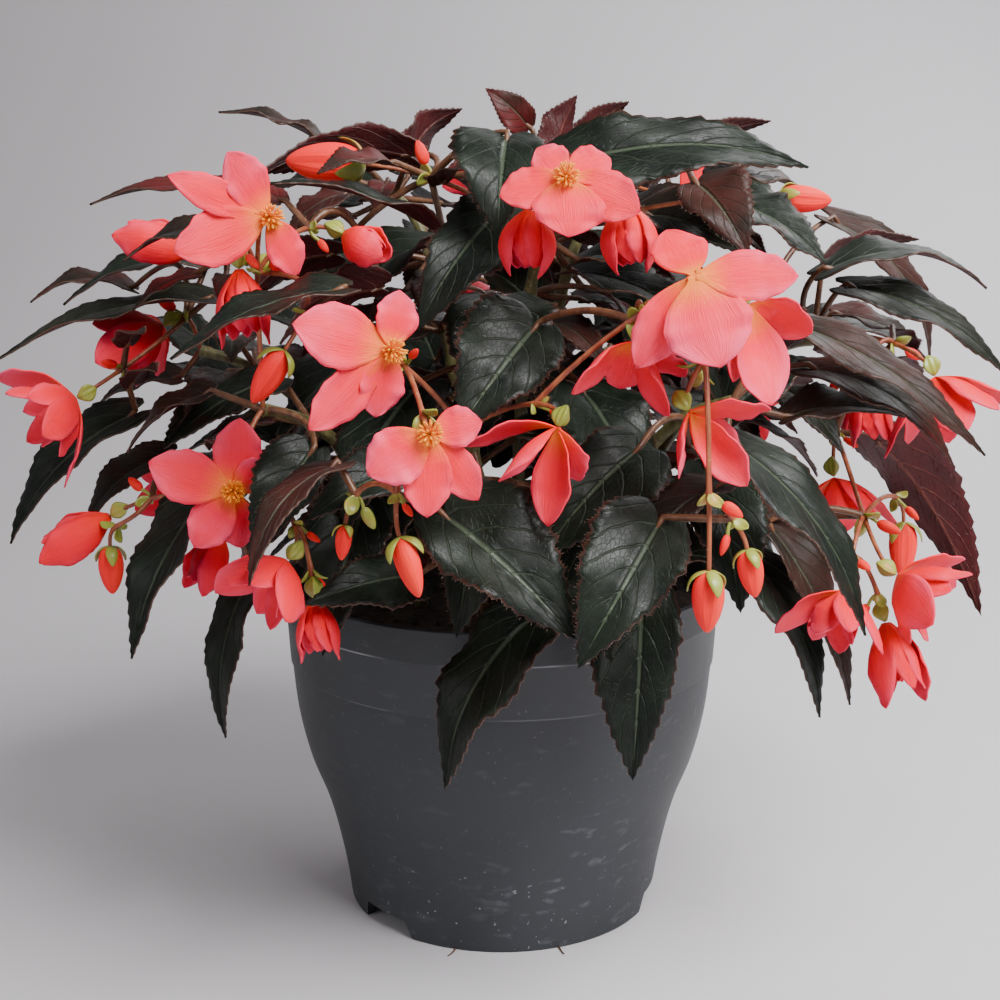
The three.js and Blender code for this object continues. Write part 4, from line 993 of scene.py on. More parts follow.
starts = [at for at, _ in joints]
for stem in stems:
    stem["grown"] = len(stem["leaves"])
    starts += [stem["curve"].along(share) for share in YOUNG_SHARES]
young_count = 0
for length in np.linspace(YOUNG_LONG, YOUNG_SHORT, YOUNG_ROUNDS):
    for joint in starts:
        turn = math.degrees(math.atan2(joint[1], joint[0])) + chance.uniform(-110, 110)
        leaf = young_leaf(joint, turn, length * chance.uniform(0.85, 1.1))
        young_count += bool(leaf and grow_leaf(leaf, (0,), YOUNG_PETIOLE))
for stem in stems:
    stem["young"] = stem["leaves"][stem["grown"]:]
    stem["leaves"] = stem["leaves"][:stem["grown"]]
print("young leaves:", young_count, "starting places:", len(starts))

# %% [markdown]
# ### Do the layout and the solids agree?
# The fine pieces are grown here a second time, so a slip in a table would put them beside their
# solids. Each bloom's middle and each leaf's two ends have to lie in the box of their solid.

# %% The layout against the solids' boxes
def outside_box(node, points):
    """How far the farthest of some points lies outside a solid's box, in mm."""
    low, high = [np.array(corner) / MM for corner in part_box(node)]
    points = np.array(points)
    return max(0.0, float((points - high).max()), float((low - points).max()))


stem_nodes = [f"leafy_stem_{number + 1}" for number in range(len(stems))]
strays = [outside_box(bloom["name"], [bloom["middle"]]) for bloom in blooms]
for node, stem in zip(stem_nodes, stems):
    for blade in [leaf["blade"] for leaf in stem["leaves"]]:
        strays.append(outside_box(node, [blade.base, blade.base + blade.along * blade.length]))
print("farthest point of the layout outside its solid's box, mm:", round(max(strays), 2))

# %% [markdown]
# ## The colours of a leaf
# An old begonia leaf is nearly black-green above, with sunken grey-green veins and a thin red-brown
# line along its teeth, and wine-red below. The veins follow the leaf and not the room, so they are
# drawn on its UV map: the first coordinate runs from joint to tip, the second from edge to edge. A
# side vein leaves the midrib at a slant, which is a line where `along - slant * across` is constant.

# %% Veins on a leaf's map
VEINS = 6  # side veins on either side of the midrib
VEIN_SLANT = 0.38


def vein_marks(looks):
    """Masks of a leaf's midrib and side veins, and how far out a point lies, 0 to 1."""
    uv, along, across = looks.unwrapped()
    out = abs(across - 0.5) * 2
    wobble = (looks.noise(uv, 9.0) - 0.5) * 0.05
    phase = ((along - out * VEIN_SLANT + wobble) * VEINS + 20).fraction()
    side = abs(phase - 0.5).between(0.42, 0.5) * (1 - out.between(0.75, 1.0))
    cells = {"Vector": uv, "Scale": 26.0}
    fine = looks.node("ShaderNodeTexVoronoi", {"feature": "DISTANCE_TO_EDGE"}, cells)
    midrib = 1 - out.between(0.02, 0.09)
    return midrib, side, 1 - fine.between(0.0, 0.06), out


print("side veins on either side:", VEINS)

# %% The upper side
OLD_DARK, OLD_LIGHT = (0.003, 0.005, 0.003), (0.01, 0.016, 0.009)
YOUNG_DARK, YOUNG_LIGHT = (0.018, 0.011, 0.006), (0.1, 0.008, 0.009)
NET_GREEN, VEIN_GREEN, RIM_BROWN = (0.06, 0.09, 0.055), (0.1, 0.13, 0.08), (0.06, 0.015, 0.01)

leaf_top = Looks("leaf_upper_side", Coat_Weight=0.04, Coat_Roughness=0.35, Specular_IOR_Level=0.21)
midrib, side_veins, net, out = vein_marks(leaf_top)
place = leaf_top.place()
age = leaf_top.attribute("age")
clouds = leaf_top.noise(place, 38.0, 5.0)
old = leaf_top.mix(clouds.between(0.3, 0.75), OLD_DARK, OLD_LIGHT)
young = leaf_top.mix(clouds.between(0.3, 0.7), YOUNG_DARK, YOUNG_LIGHT)
skin = leaf_top.mix(age, old, young)
skin = leaf_top.mix(net * 0.1, skin, NET_GREEN)
skin = leaf_top.mix((midrib + side_veins * 0.5).between(0.0, 1.2) * 0.45, skin, VEIN_GREEN)
skin = leaf_top.mix(out.between(0.93, 0.99) * 0.6, skin, RIM_BROWN)
leaf_top.set("Base Color", skin)
leaf_top.set("Roughness", leaf_top.noise(place, 90.0).between(0.2, 0.9) * 0.22 + 0.33)
height = clouds * 0.6 - midrib * 0.8 - side_veins * 0.4 - net * 0.06
leaf_top.set("Normal", leaf_top.bump(height, 0.0013, 0.85))
print("nodes in the upper side:", len(leaf_top.tree.nodes))

# %% The underside and the edge
WINE_DARK, WINE_LIGHT, WINE_VEIN = (0.028, 0.002, 0.003), (0.09, 0.006, 0.007), (0.22, 0.06, 0.04)
EDGE_DARK, EDGE_LIGHT = (0.035, 0.012, 0.008), (0.08, 0.035, 0.018)

leaf_under = Looks("leaf_underside", Coat_Weight=0.0, Specular_IOR_Level=0.3)
midrib, side_veins, net, out = vein_marks(leaf_under)
place = leaf_under.place()
clouds = leaf_under.noise(place, 55.0, 4.0)
wine = leaf_under.mix(clouds, WINE_DARK, WINE_LIGHT)
veins = (midrib + side_veins * 0.8 + net * 0.25).between(0.0, 1.2)
wine = leaf_under.mix(veins * 0.55, wine, WINE_VEIN)
leaf_under.set("Base Color", wine)
leaf_under.set("Roughness", clouds * 0.2 + 0.4)
leaf_under.set("Normal", leaf_under.bump(midrib + side_veins + net * 0.4, 0.0012, 0.8))

leaf_edge = Looks("leaf_edge", Roughness=0.5)
edge_noise = leaf_edge.noise(leaf_edge.place(), 120.0)
leaf_edge.set("Base Color", leaf_edge.mix(edge_noise, EDGE_DARK, EDGE_LIGHT))
print("nodes in the underside:", len(leaf_under.tree.nodes))

# %% [markdown]
# ### Stems and stalks
# The canes are olive-brown with pale lengthwise flecks, the leaf petioles brown-red, and the
# blooms' stalks redder still. All three are one idea, noise drawn out lengthwise, in other colours.

# %% Stem finishes
def stalk_finish(name, dark, light, fleck):
    looks = Looks(name, Coat_Weight=0.1)
    place = looks.place()
    grain = looks.noise(looks.stretched(place, (1, 1, 0.25)), 260.0, 4.0)
    spots = looks.noise(place, 420.0).between(0.62, 0.7)
    colour = looks.mix(grain.between(0.3, 0.7), dark, light)
    looks.set("Base Color", looks.mix(spots * 0.5, colour, fleck))
    looks.set("Roughness", grain * 0.25 + 0.3)
    looks.set("Normal", looks.bump(grain + spots * 0.5, 0.0005, 0.5))
    return looks


cane = stalk_finish(
    "cane", dark=(0.07, 0.06, 0.02), light=(0.16, 0.15, 0.05), fleck=(0.32, 0.29, 0.16),
)
petiole_skin = stalk_finish(
    "petiole", dark=(0.085, 0.028, 0.013), light=(0.17, 0.07, 0.028), fleck=(0.28, 0.16, 0.09),
)
flower_stalk = stalk_finish(
    "flower_stalk", dark=(0.22, 0.04, 0.018), light=(0.38, 0.11, 0.04), fleck=(0.5, 0.26, 0.14),
)

HAIR_BROWN, HAIR_PALE = (0.14, 0.06, 0.04), (0.3, 0.2, 0.14)
hair_skin = Looks("hair", Roughness=0.6)
hair_noise = hair_skin.noise(hair_skin.place(), 200.0)
hair_skin.set("Base Color", hair_skin.mix(hair_noise, HAIR_BROWN, HAIR_PALE))
print("stem finishes:", [looks.material.name for looks in (cane, petiole_skin, flower_stalk, hair_skin)])

# %% [markdown]
# ## One leaf, many times
# A leaf begins as a flat grid. Each copy gets its own mesh, whose points are then laid on that
# leaf's own curved blade: the rows run from joint to tip, the grid's outer columns become the
# toothed edge, and between two side veins the skin is puffed up a little, as it is on the plant.
# The back row is pushed behind the joint on both sides, and so makes the two round lobes.

# %% The flat grids
def flat_sheet(name, rows, columns):
    deselect()
    bpy.ops.mesh.primitive_grid_add(x_subdivisions=rows, y_subdivisions=columns, size=1, location=(0, 0, 0))
    return fresh(name)


def places_of(thing):
    flat = np.empty(len(thing.data.vertices) * 3)
    thing.data.vertices.foreach_get("co", flat)
    return flat.reshape(-1, 3)


def grid_places(sheet):
    """For each point of a flat sheet: how far along it lies, 0 to 1, and how far across, -1 to 1."""
    flat = places_of(sheet)
    return flat[:, 0] + 0.5, flat[:, 1] * -2


def laid_out(sheet, name, points, age=0.0):
    """A copy of a sheet with a mesh of its own, whose points lie at the given places in mm."""
    copy = sheet.copy()
    copy.data = sheet.data.copy()
    copy.name = copy.data.name = name
    bpy.context.collection.objects.link(copy)
    copy.data.vertices.foreach_set("co", (points * MM).ravel())
    ages = copy.data.attributes.new("age", "FLOAT", "POINT")
    ages.data.foreach_set("value", np.full(len(points), age))
    copy.data.update()
    return copy


leaf_sheet = flat_sheet("flat_leaf", 56, 10)
leaf_s, leaf_t = grid_places(leaf_sheet)
print("faces of one leaf, before it has a thickness:", len(leaf_sheet.data.polygons))

# %% [markdown]
# Short stiff hairs fringe the teeth and the petioles. Hair particles would be gone from an exported
# model, so a hair is a cone with three sides. An Array modifier makes a row of them, and the row is
# copied as the leaves are: each copy's hairs move to their own feet.

# %% A row of hairs
HAIRS, HAIR_PITCH, HAIR_RADIUS, HAIR_LENGTH = 46, 10, 0.1, 1.3
hair_s = 0.02 + 0.95 * (np.arange(HAIRS) + 0.5) / HAIRS  # their shares of a leaf's edge
deselect()
bpy.ops.mesh.primitive_cone_add(vertices=3, radius1=1, radius2=0, depth=1, location=(0, 0, 0.5))
hair_row = fresh("hair_row")
pick(hair_row)
settle()
beside = hair_row.modifiers.new("row", "ARRAY")
beside.use_relative_offset = False
beside.use_constant_offset = True
beside.constant_offset_displace = (HAIR_PITCH, 0, 0)
beside.count = HAIRS
bpy.ops.object.modifier_apply(modifier=beside.name)
hair_points = places_of(hair_row)
hair_number = np.round(hair_points[:, 0] / HAIR_PITCH).astype(int)
hair_points[:, 0] -= HAIR_PITCH * hair_number


def hairs(name, feet, ways):
    """The row of hairs, each hair moved to its own foot and turned its own way."""
    ways = units(ways)
    sides = units(np.cross(ways, vec(0.31, 0.52, 0.8)))
    others = np.cross(ways, sides)
    reach = HAIR_LENGTH * (0.7 + 0.6 * (hair_number * 0.618 % 1)) * hair_points[:, 2]
    points = feet[hair_number] + ways[hair_number] * reach[:, None]
    points = points + sides[hair_number] * (hair_points[:, 0] * HAIR_RADIUS)[:, None]
    points = points + others[hair_number] * (hair_points[:, 1] * HAIR_RADIUS)[:, None]
    return laid_out(hair_row, name, points)


print("hairs in a row:", HAIRS, "faces:", len(hair_row.data.polygons))

# %% A leaf's own shape
LARGE_LEAF, SMALL_LEAF = 37, 23  # mm wide: with three, two or one coarse teeth on a side
PUFF, GROOVE, WAVE = 0.8, 0.7, 1.1  # mm on a leaf that is 40 mm wide
TEETH_FROM, TEETH_SPAN = 0.03, 0.8  # the coarse teeth's part of the edge, as shares of the length
FINE_TEETH, FINE_DEPTH = 14, 0.085  # their number, and how far they stand out as a share of the width


def toothed(s, t, blade):
    """The share of the half width at each point: coarse lobes, and fine teeth that point forwards."""
    a = np.abs(t)
    teeth = 3 if 2 * blade.half > LARGE_LEAF else 2 if 2 * blade.half > SMALL_LEAF else 1
    coarse = ((s - TEETH_FROM) * teeth / TEETH_SPAN) % 1
    has_teeth = (s > TEETH_FROM) & (s < TEETH_FROM + TEETH_SPAN)
    coarse = np.where(has_teeth, 0.93 + 0.1 * coarse, 0.97)
    at_edge = (a > 0.99) & (s < 0.97)
    fine = np.where(at_edge, np.sign(t) * FINE_DEPTH * ((s * FINE_TEETH) % 1), 0)
    return t * swelling(0.07 + 0.93 * s, LEAF_ROUND, LEAF_TAPER) * (1 + (coarse - 1) * a ** 3) + fine


def leaf_points(blade, s, t):
    """Places on a leaf: its lobes behind the joint, puffed between the veins, waved at the edge."""
    a = np.abs(t)
    back = np.sin(np.minimum(a / 0.55, 1) * math.pi / 2) * (1 - 0.4 * np.clip((a - 0.55) / 0.45, 0, 1) ** 2)
    u = s - LOBE * back * (1 - s) ** 3
    puffed = np.sin(math.pi * (s - a * VEIN_SLANT) * VEINS) ** 2 * (1 - a ** 3) * np.minimum(1, a / 0.15)
    wave = np.sin(s * 11 + chance.uniform(0, 6)) * a ** 3 * np.minimum(1, 4 * (1 - s))
    groove = np.exp(-(a / 0.09) ** 2) * (1 - s)
    lift = blade.half / 20 * (PUFF * puffed - GROOVE * groove + WAVE * wave)
    return blade.at(u, toothed(s, t, blade), lift)


def leaf_age(blade):
    """Small leaves high up are young."""
    high = (blade.base[2] - 300) / 120
    return min(1, max(0, (30 - 2 * blade.half) / 14 + 0.3 * high + chance.uniform(-0.25, 0.25)))


def leaf_pieces(name, leaves):
    """Flat leaves, and for each edge the feet of its hairs and the ways they point."""
    pieces, rows = [], []
    for number, leaf in enumerate(leaves):
        blade = leaf["blade"]
        s = np.concatenate([leaf_s, hair_s, hair_s, hair_s, hair_s])
        t = np.concatenate([leaf_t, *[np.full(HAIRS, edge) for edge in (1, -1, 0.85, -0.85)]])
        places = np.split(leaf_points(blade, s, t), len(leaf_s) + HAIRS * np.arange(4))
        points, left, right, inside_left, inside_right = places
        rows.append((left, left - inside_left + blade.along))
        rows.append((right, right - inside_right + blade.along))
        pieces.append(laid_out(leaf_sheet, f"{name}_leaf_{number}", points, leaf_age(blade)))
    return pieces, rows


print("points on a leaf and its edges:", len(leaf_s) + 4 * HAIRS)

# %% [markdown]
# A leaf is a wall under a millimetre thick. The Solidify modifier gives it both faces at once, and can
# paint the far side and the rim in other finishes than the front, which is just what a leaf needs.

# %% Sheets get their thickness
LEAF_THICK, TEPAL_THICK, BRACT_THICK = 0.8, 0.7, 0.5  # mm


def joined(pieces, name):
    """Makes one piece of several."""
    pick(*pieces)
    if len(pieces) > 1:
        bpy.ops.object.join()
    return fresh(name)


def thicken(sheet, thickness, finishes):
    """Closes a sheet's poles and gives it a front, a back and an edge, each in its own finish."""
    pick(sheet)
    bpy.ops.object.mode_set(mode="EDIT")
    bpy.ops.mesh.select_all(action="SELECT")
    bpy.ops.mesh.remove_doubles(threshold=0.00002)
    bpy.ops.object.mode_set(mode="OBJECT")
    sheet.data.materials.clear()
    for looks in finishes:
        sheet.data.materials.append(looks.material)
    wall = sheet.modifiers.new("thickness", "SOLIDIFY")
    wall.thickness = thickness * MM
    wall.offset = 0
    wall.material_offset = 1
    wall.material_offset_rim = len(finishes) - 1
    bpy.ops.object.modifier_apply(modifier=wall.name)
    bpy.ops.object.shade_smooth()
    return sheet


print("thickness of a leaf, a tepal and a bract, mm:", LEAF_THICK, TEPAL_THICK, BRACT_THICK)

# %% [markdown]
# ### Canes, petioles and stalks
# A curve object with a round bevel is the quickest way to a tube whose thickness changes along it.
# Each spline has a radius at every point, so a cane can swell at its joints. Turned into a mesh,
# the tubes join the leaves that they carry in one piece for each stem.

# %% Tubes
BAR_ROUNDNESS = 3


def tubes(name, runs, finishes):
    """Round bars. Each run is its points, their radii, both in mm, and which finish it has."""
    deselect()
    bpy.ops.curve.primitive_bezier_curve_add()
    thing = fresh(name)
    shape = thing.data
    shape.splines.clear()
    shape.bevel_depth = MM
    shape.bevel_resolution = BAR_ROUNDNESS
    shape.use_fill_caps = True
    for looks in finishes:
        shape.materials.append(looks.material)
    for points, radii, finish in runs:
        spline = shape.splines.new("POLY")
        spline.points.add(len(points) - 1)
        spline.points.foreach_set("co", np.column_stack([points * MM, np.ones(len(points))]).ravel())
        spline.points.foreach_set("radius", radii)
        spline.use_smooth = True
        spline.material_index = finish
    pick(thing)
    bpy.ops.object.convert(target="MESH")
    return fresh(name)


print("sides of a round bar:", 4 + 2 * BAR_ROUNDNESS)

# %% Bars of a stem
CANE_TAPER, CANE_KNOT = 0.3, 0.7  # the taper is a share of its radius, the rest are mm
PETIOLE_RADIUS, PETIOLE_TAPER = 1.75, 0.35
STALK_RADIUS, STALK_TAPER, STALK_KNOT = 1.25, 0.3, 0.4


def cane_run(stem):
    """A cane thins towards its tip and swells at its joints."""
    t = np.linspace(0, 1, 49)
    points = stem["curve"].at(t)
    radii = STEM_RADIUS * (1.02 - CANE_TAPER * t)
    for joint in stem["joints"]:
        near = np.sqrt(((points - joint) ** 2).sum(axis=1))
        radii = radii + CANE_KNOT * np.exp(-(near / 4) ** 2)
    return points, radii, 0


def petiole_run(leaf):
    """A petiole runs a little way into its leaf, as its midrib."""
    t = np.linspace(0, 1, 15)
    blade = leaf["blade"]
    points = leaf["petiole"].at(t)
    ends = [blade.base - blade.along * STUB * 0.4, blade.base, blade.base + blade.along * 3]
    points = np.concatenate([points, ends])
    radii = np.concatenate([PETIOLE_RADIUS - PETIOLE_TAPER * t, [1.3, 1.1, 0.5]])
    return points, radii, 1


def stalk_run(stalk):
    """A bloom's stalk has a knot where the next one can fork off."""
    t = np.linspace(0, 1, 21)
    points = stalk["curve"].at(t)
    near = np.sqrt(((points - stalk["fork"]) ** 2).sum(axis=1))
    return points, STALK_RADIUS - STALK_TAPER * t + STALK_KNOT * np.exp(-(near / 3) ** 2), 2


def stalk_hairs(points, radii):
    """The places of a row of hairs that winds round a petiole."""
    at = np.linspace(1, len(points) - 5, HAIRS)
    whole = at.astype(int)
    feet = points[whole] + (points[whole + 1] - points[whole]) * (at - whole)[:, None]
    along = points[whole + 1] - points[whole]
    level = units(np.cross(along, vec(0.2, 0.1, 1)))
    upright = np.cross(level, units(along))
    turn = np.arange(HAIRS) * GOLDEN_TURN
    ways = level * np.cos(turn)[:, None] + upright * np.sin(turn)[:, None]
    return feet + ways * (np.array(radii)[whole] * 0.9)[:, None], ways


print("points along a cane:", len(cane_run(stems[0])[0]))

# %% [markdown]
# ### Ten leafy stems
# A cane, its petioles, its leaves and the stalks of its blooms have grown together, so they are one
# piece, as in the solids. The young leaves of a stem are a piece of their own: the grown ones have to
# stay in their solid's box, and the young ones belong to no solid.

# %% The ten leafy stems
def foliage(name, leaves, other_bars):
    """Leaves with their petioles and hairs, and the other bars of their stem, as one piece."""
    petioles = [petiole_run(leaf) for leaf in leaves]
    bars = tubes(name + "_bars", other_bars + petioles, (cane, petiole_skin, flower_stalk))
    sheets, rows = leaf_pieces(name, leaves)
    sheets = thicken(joined(sheets, name + "_sheets"), LEAF_THICK, (leaf_top, leaf_under, leaf_edge))
    rows += [stalk_hairs(points, radii) for points, radii, _ in petioles]
    fringe = [hairs(f"{name}_hairs_{number}", *row) for number, row in enumerate(rows)]
    fringe = joined(fringe, name + "_fringe")
    fringe.data.materials.append(hair_skin.material)
    whole = joined([sheets, bars, fringe], name)
    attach(whole, "root")
    print(name, "leaves:", len(leaves), "faces:", len(whole.data.polygons))
    return whole


for node, stem in zip(stem_nodes, stems):
    bars = [cane_run(stem)] + [stalk_run(stalk) for stalk in stem["stalks"]]
    growth = foliage(node + "_growth", stem["leaves"], bars)
    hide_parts(node)
    if stem["young"]:
        foliage(node + "_young", stem["young"], [])
remove(leaf_sheet, hair_row)

# %% [markdown]
# ## The colours of a bloom
# A tepal glows from coral at its edge to orange at the throat, and its outside is a redder coral.
# Thin veins run its whole length: noise whose place is stretched along the tepal gives them.

# %% Tepal finishes
def tepal_finish(name, throat, body, rim, streak, stretch=(3, 46, 1)):
    """From the throat's colour to the body's, paler at the rim, with streaks and orange freckles."""
    looks = Looks(name, Sheen_Weight=0.02, Sheen_Roughness=0.4, Specular_IOR_Level=0.17)
    uv, along, across = looks.unwrapped()
    out = abs(across - 0.5) * 2
    lines = looks.noise(looks.stretched(uv, stretch), 1.0, 3.0)
    clouds = looks.noise(looks.place(), 60.0, 3.0)
    colour = looks.mix(along.between(0.02, 0.42), throat, body)
    pale = out.between(0.3, 1.0) * 0.5 + clouds.between(0.4, 0.8) * 0.4 + along.between(0.4, 1.0) * 0.3
    colour = looks.mix(pale * along.between(0.1, 0.7), colour, rim)
    colour = looks.mix(lines.between(0.5, 0.72) * 0.35, colour, streak)
    freckles = looks.noise(looks.place(), 900.0, 1.0).between(0.58, 0.64)
    colour = looks.mix(freckles * (1 - along.between(0.12, 0.45)) * 0.55, colour, throat)
    colour = looks.mix(looks.attribute("age") * along.between(0.05, 0.3), colour, streak)
    looks.set("Base Color", colour)
    looks.set("Roughness", clouds * 0.2 + 0.36)
    looks.set("Normal", looks.bump(lines + clouds * 0.3, 0.0008, 0.6))
    return looks


tepal_inside = tepal_finish(
    "tepal_inside", throat=(1.0, 0.26, 0.03), body=(1.0, 0.01, 0.045),
    rim=(1.0, 0.1, 0.22), streak=(0.88, 0.005, 0.018),
)
tepal_outside = tepal_finish(
    "tepal_outside", throat=(1.0, 0.02, 0.006), body=(1.0, 0.003, 0.02),
    rim=(1.0, 0.06, 0.15), streak=(0.8, 0.002, 0.01),
)
bud_skin = tepal_finish(
    "bud_skin", throat=(0.98, 0.035, 0.02), body=(1.0, 0.012, 0.018),
    rim=(1.0, 0.06, 0.035), streak=(0.8, 0.006, 0.01), stretch=(40, 2, 1),
)
print("nodes in a tepal's finish:", len(tepal_inside.tree.nodes))

# %% Pod and pollen
POD_GREEN, POD_BLUSH = (0.3, 0.34, 0.05), (0.7, 0.13, 0.03)
POLLEN_DARK, POLLEN_LIGHT = (0.9, 0.22, 0.004), (1.0, 0.42, 0.02)

pod_skin = Looks("pod_skin", Coat_Weight=0.1)
place = pod_skin.place()
blush = pod_skin.noise(place, 90.0).between(0.5, 0.8)
pod_skin.set("Base Color", pod_skin.mix(blush * 0.7, POD_GREEN, POD_BLUSH))
pod_skin.set("Roughness", blush * 0.15 + 0.38)
pod_skin.set("Normal", pod_skin.bump(pod_skin.noise(place, 300.0), 0.0004, 0.5))

pollen = Looks("pollen", Roughness=0.7)
grains = pollen.noise(pollen.place(), 900.0)
pollen.set("Base Color", pollen.mix(grains, POLLEN_DARK, POLLEN_LIGHT))
pollen.set("Normal", pollen.bump(grains, 0.0004, 0.8))
print("nodes in the pollen:", len(pollen.tree.nodes))

# %% [markdown]
# ## One tepal, many times
# The tepals are made as the leaves are, from one flat grid. Their edges wave, their tips curl
# back, and every other one lies a little further in, so that they overlap instead of crossing.

# %% Tepals of an open bloom
TEPAL_LAYER = 0.8  # mm between the outer and the inner tepals
tepal_sheet = flat_sheet("flat_tepal", 24, 10)
tepal_s, tepal_t = grid_places(tepal_sheet)


def edge_wave(s, t):
    """A ripple that is nought on the rib and grows towards the edge and the tip."""
    wave = np.sin(s * 13 + chance.uniform(0, 6)) + 0.35 * np.sin(s * 31 + chance.uniform(0, 6))
    return wave * np.abs(t) ** 2 * s * np.minimum(1, 5 * (1 - s))


def flat_tepal(blade, s, t, layer):
    """A tepal of an open bloom."""
    ragged = 1 + 0.035 * np.sin(s * 34 + chance.uniform(0, 6)) * np.clip(s * 3 - 1, 0, 1)
    width = 1.2 * ragged * np.maximum(tepal_width(s), np.where(s < 0.3, 0.2, 0))
    soft = 0.12 * blade.half * np.exp(-(t / 0.35) ** 2) * np.sin(math.pi * s)
    curl = chance.uniform(-0.13, -0.02) * blade.length * s ** 5
    twist = chance.uniform(-0.32, 0.32) * blade.half * t * width * s
    bend = chance.uniform(-0.22, 0.22) * s ** 2 * (1 - s)
    lift = layer * TEPAL_LAYER * s + 0.17 * blade.half * edge_wave(s, t) + soft + curl + twist
    return blade.at(s, t * width + 2 * bend, lift)


print("points on a tepal:", len(tepal_s))

# %% [markdown]
# A hanging bloom is half closed. Its tepals can't be flat, or they would meet only at their ribs. So
# each point is set out from the bloom's axis instead: so far down it, so far from it, and turned round
# it by its share of the width. A second whorl, turned by half a tepal, shows between the first.

# %% Tepals of a hanging bloom
ROUND_BELLS = ("bloom_top_left_bell", "bloom_top_right_bell", "bloom_pod")
SLENDER = 40  # degrees: a bloom that is less open than this is slender
INNER_SCALE = 0.74


def bell_tepal(blade, s, t, layer, bloom, shift=0.0, scale=1.0):
    """A tepal of a bloom that hangs half closed: it wraps round the bloom's axis."""
    face, at, count = bloom["face"], bloom["middle"], len(bloom["blades"])
    out = unit(blade.along - face * dot(face, blade.along))
    rib = blade.at(s, 0 * t) - at
    high, reach = rib @ face, rib @ out
    wrap = 0.8 * 2 * blade.half / max(3.0, float(reach.max()))
    narrowing = np.cos(math.pi / 2 * np.clip((s - 0.4) / 0.6, 0, 1)) ** 0.7
    flare = 0.08 * blade.length * s ** 7
    if bloom["name"] in ROUND_BELLS:  # an egg, with round tips that only part a little
        high = blade.length * s
        reach = blade.length * 0.4 * np.sin(math.pi * (0.06 + 0.84 * s)) ** 0.8
        wrap = max(wrap, 1.3 * math.pi / count)
        narrowing = np.sqrt(1 - np.clip((s - 0.45) / 0.55, 0, 1) ** 2.4)
        flare = 0.02 * blade.length * s ** 7
    elif bloom.get("opening", 90) < SLENDER:  # slender, with pointed tips that turn out
        high = blade.length * s
        reach = blade.length * 0.31 * np.sin(math.pi * (0.05 + 0.8 * s))
        wrap = max(wrap, 1.2 * math.pi / count)
        flare = 0.14 * blade.length * s ** 6
    out = out * math.cos(shift) + np.cross(face, out) * math.sin(shift)
    turn = t * min(1.3, wrap) * narrowing
    reach = reach * scale + layer * TEPAL_LAYER * np.minimum(1, s * 4)
    reach = reach + 1.1 * edge_wave(s, t) + flare
    side = np.cross(out, face)
    around = out * np.cos(turn)[:, None] + side * np.sin(turn)[:, None]
    return at + face * (high * scale ** 0.5)[:, None] + reach[:, None] * around


print("round bells:", len(ROUND_BELLS))

# %% A corolla
BACK_RED, MOST_RED, INNER_RED = 0.75, 0.6, 0.2


def redness(bloom, blade):
    """Tepals that stand up at the back of a nodding bloom are the reddest."""
    at_back = blade.along[2] > 0.2 and not bloom["stamens"]
    return BACK_RED if at_back else chance.uniform(0, MOST_RED)


def corolla(bloom):
    """All the tepals of a bloom, as one piece with its thickness."""
    pieces, name = [], bloom["name"]
    for number, blade in enumerate(bloom["blades"]):
        layer = 1 if number % 2 else -1
        if blade.closed:
            points = bell_tepal(blade, tepal_s, tepal_t, -layer, bloom)
        else:
            points = flat_tepal(blade, tepal_s, tepal_t, layer)
        red = redness(bloom, blade)
        pieces.append(laid_out(tepal_sheet, f"{name}_tepal_{number}", points, red))
        if blade.closed and "opening" in bloom:
            shift = math.pi / len(bloom["blades"])
            points = bell_tepal(blade, tepal_s, tepal_t, -layer, bloom, shift, INNER_SCALE)
            pieces.append(laid_out(tepal_sheet, f"{name}_inner_{number}", points, INNER_RED))
    return thicken(joined(pieces, name + "_tepals"), TEPAL_THICK, (tepal_inside, tepal_outside))


print("redness of a back tepal:", BACK_RED, "of the others, at most:", MOST_RED)

# %% [markdown]
# Small bracts, like green-yellow petals, sit where stalks part and hug the foot of every bud. They
# are cut from a coarser grid, because there are so many of them.

# %% Bracts
bract_sheet = flat_sheet("flat_bract", 10, 4)
bract_s, bract_t = grid_places(bract_sheet)


def bracts(name, blades):
    width = bract_t * np.maximum(swelling(bract_s, 0.6, 0.8), np.where(bract_s < 0.3, 0.35, 0))
    pieces = [
        laid_out(bract_sheet, f"{name}_bract_{number}", blade.at(bract_s, width))
        for number, blade in enumerate(blades)
    ]
    return thicken(joined(pieces, name + "_bracts"), BRACT_THICK, (pod_skin, pod_skin))


def bud_bracts(bloom):
    """Three bracts that hug the foot of a bud."""
    face, size, at = bloom["face"], bloom["size"], bloom["middle"]
    turning = turn_from_up(face)
    blades = []
    for turn in (0, 125, 235):
        out = turning @ turned((1, 0, 0), turn + 15)
        tip = at + face * size * 0.36 + out * size * 0.33
        blades.append(Blade(at, tip, out, size * 0.24, 0.24, -0.25))
    return bracts(bloom["name"], blades)


print("points on a bract:", len(bract_s))

# %% [markdown]
# Behind each seed-bearing bloom sits a green pod with three thin wings, where the stalk meets it.
# It is a sphere whose radius swells at three turns. A closed bud is a sphere too: drawn out to a
# point, flatter one way than the other, with a seam where its two outer tepals meet.

# %% Pods and buds
POD_RADIUS, POD_HALF, POD_BEHIND, WINGS, WING_REACH = 2.3, 5.2, 5.8, 3, 2.6  # mm
BUD_AROUND, BUD_HIGH = 40, 26  # faces round a bud and from its foot to its tip
BUD_WIDE, BUD_DEEP, SEAM_DEPTH = 0.25, 0.19, 0.14  # half widths as shares of a bud's length, and its seam's


def ball(name, around, high):
    deselect()
    bpy.ops.mesh.primitive_uv_sphere_add(segments=around, ring_count=high, radius=1, location=(0, 0, 0))
    return fresh(name)


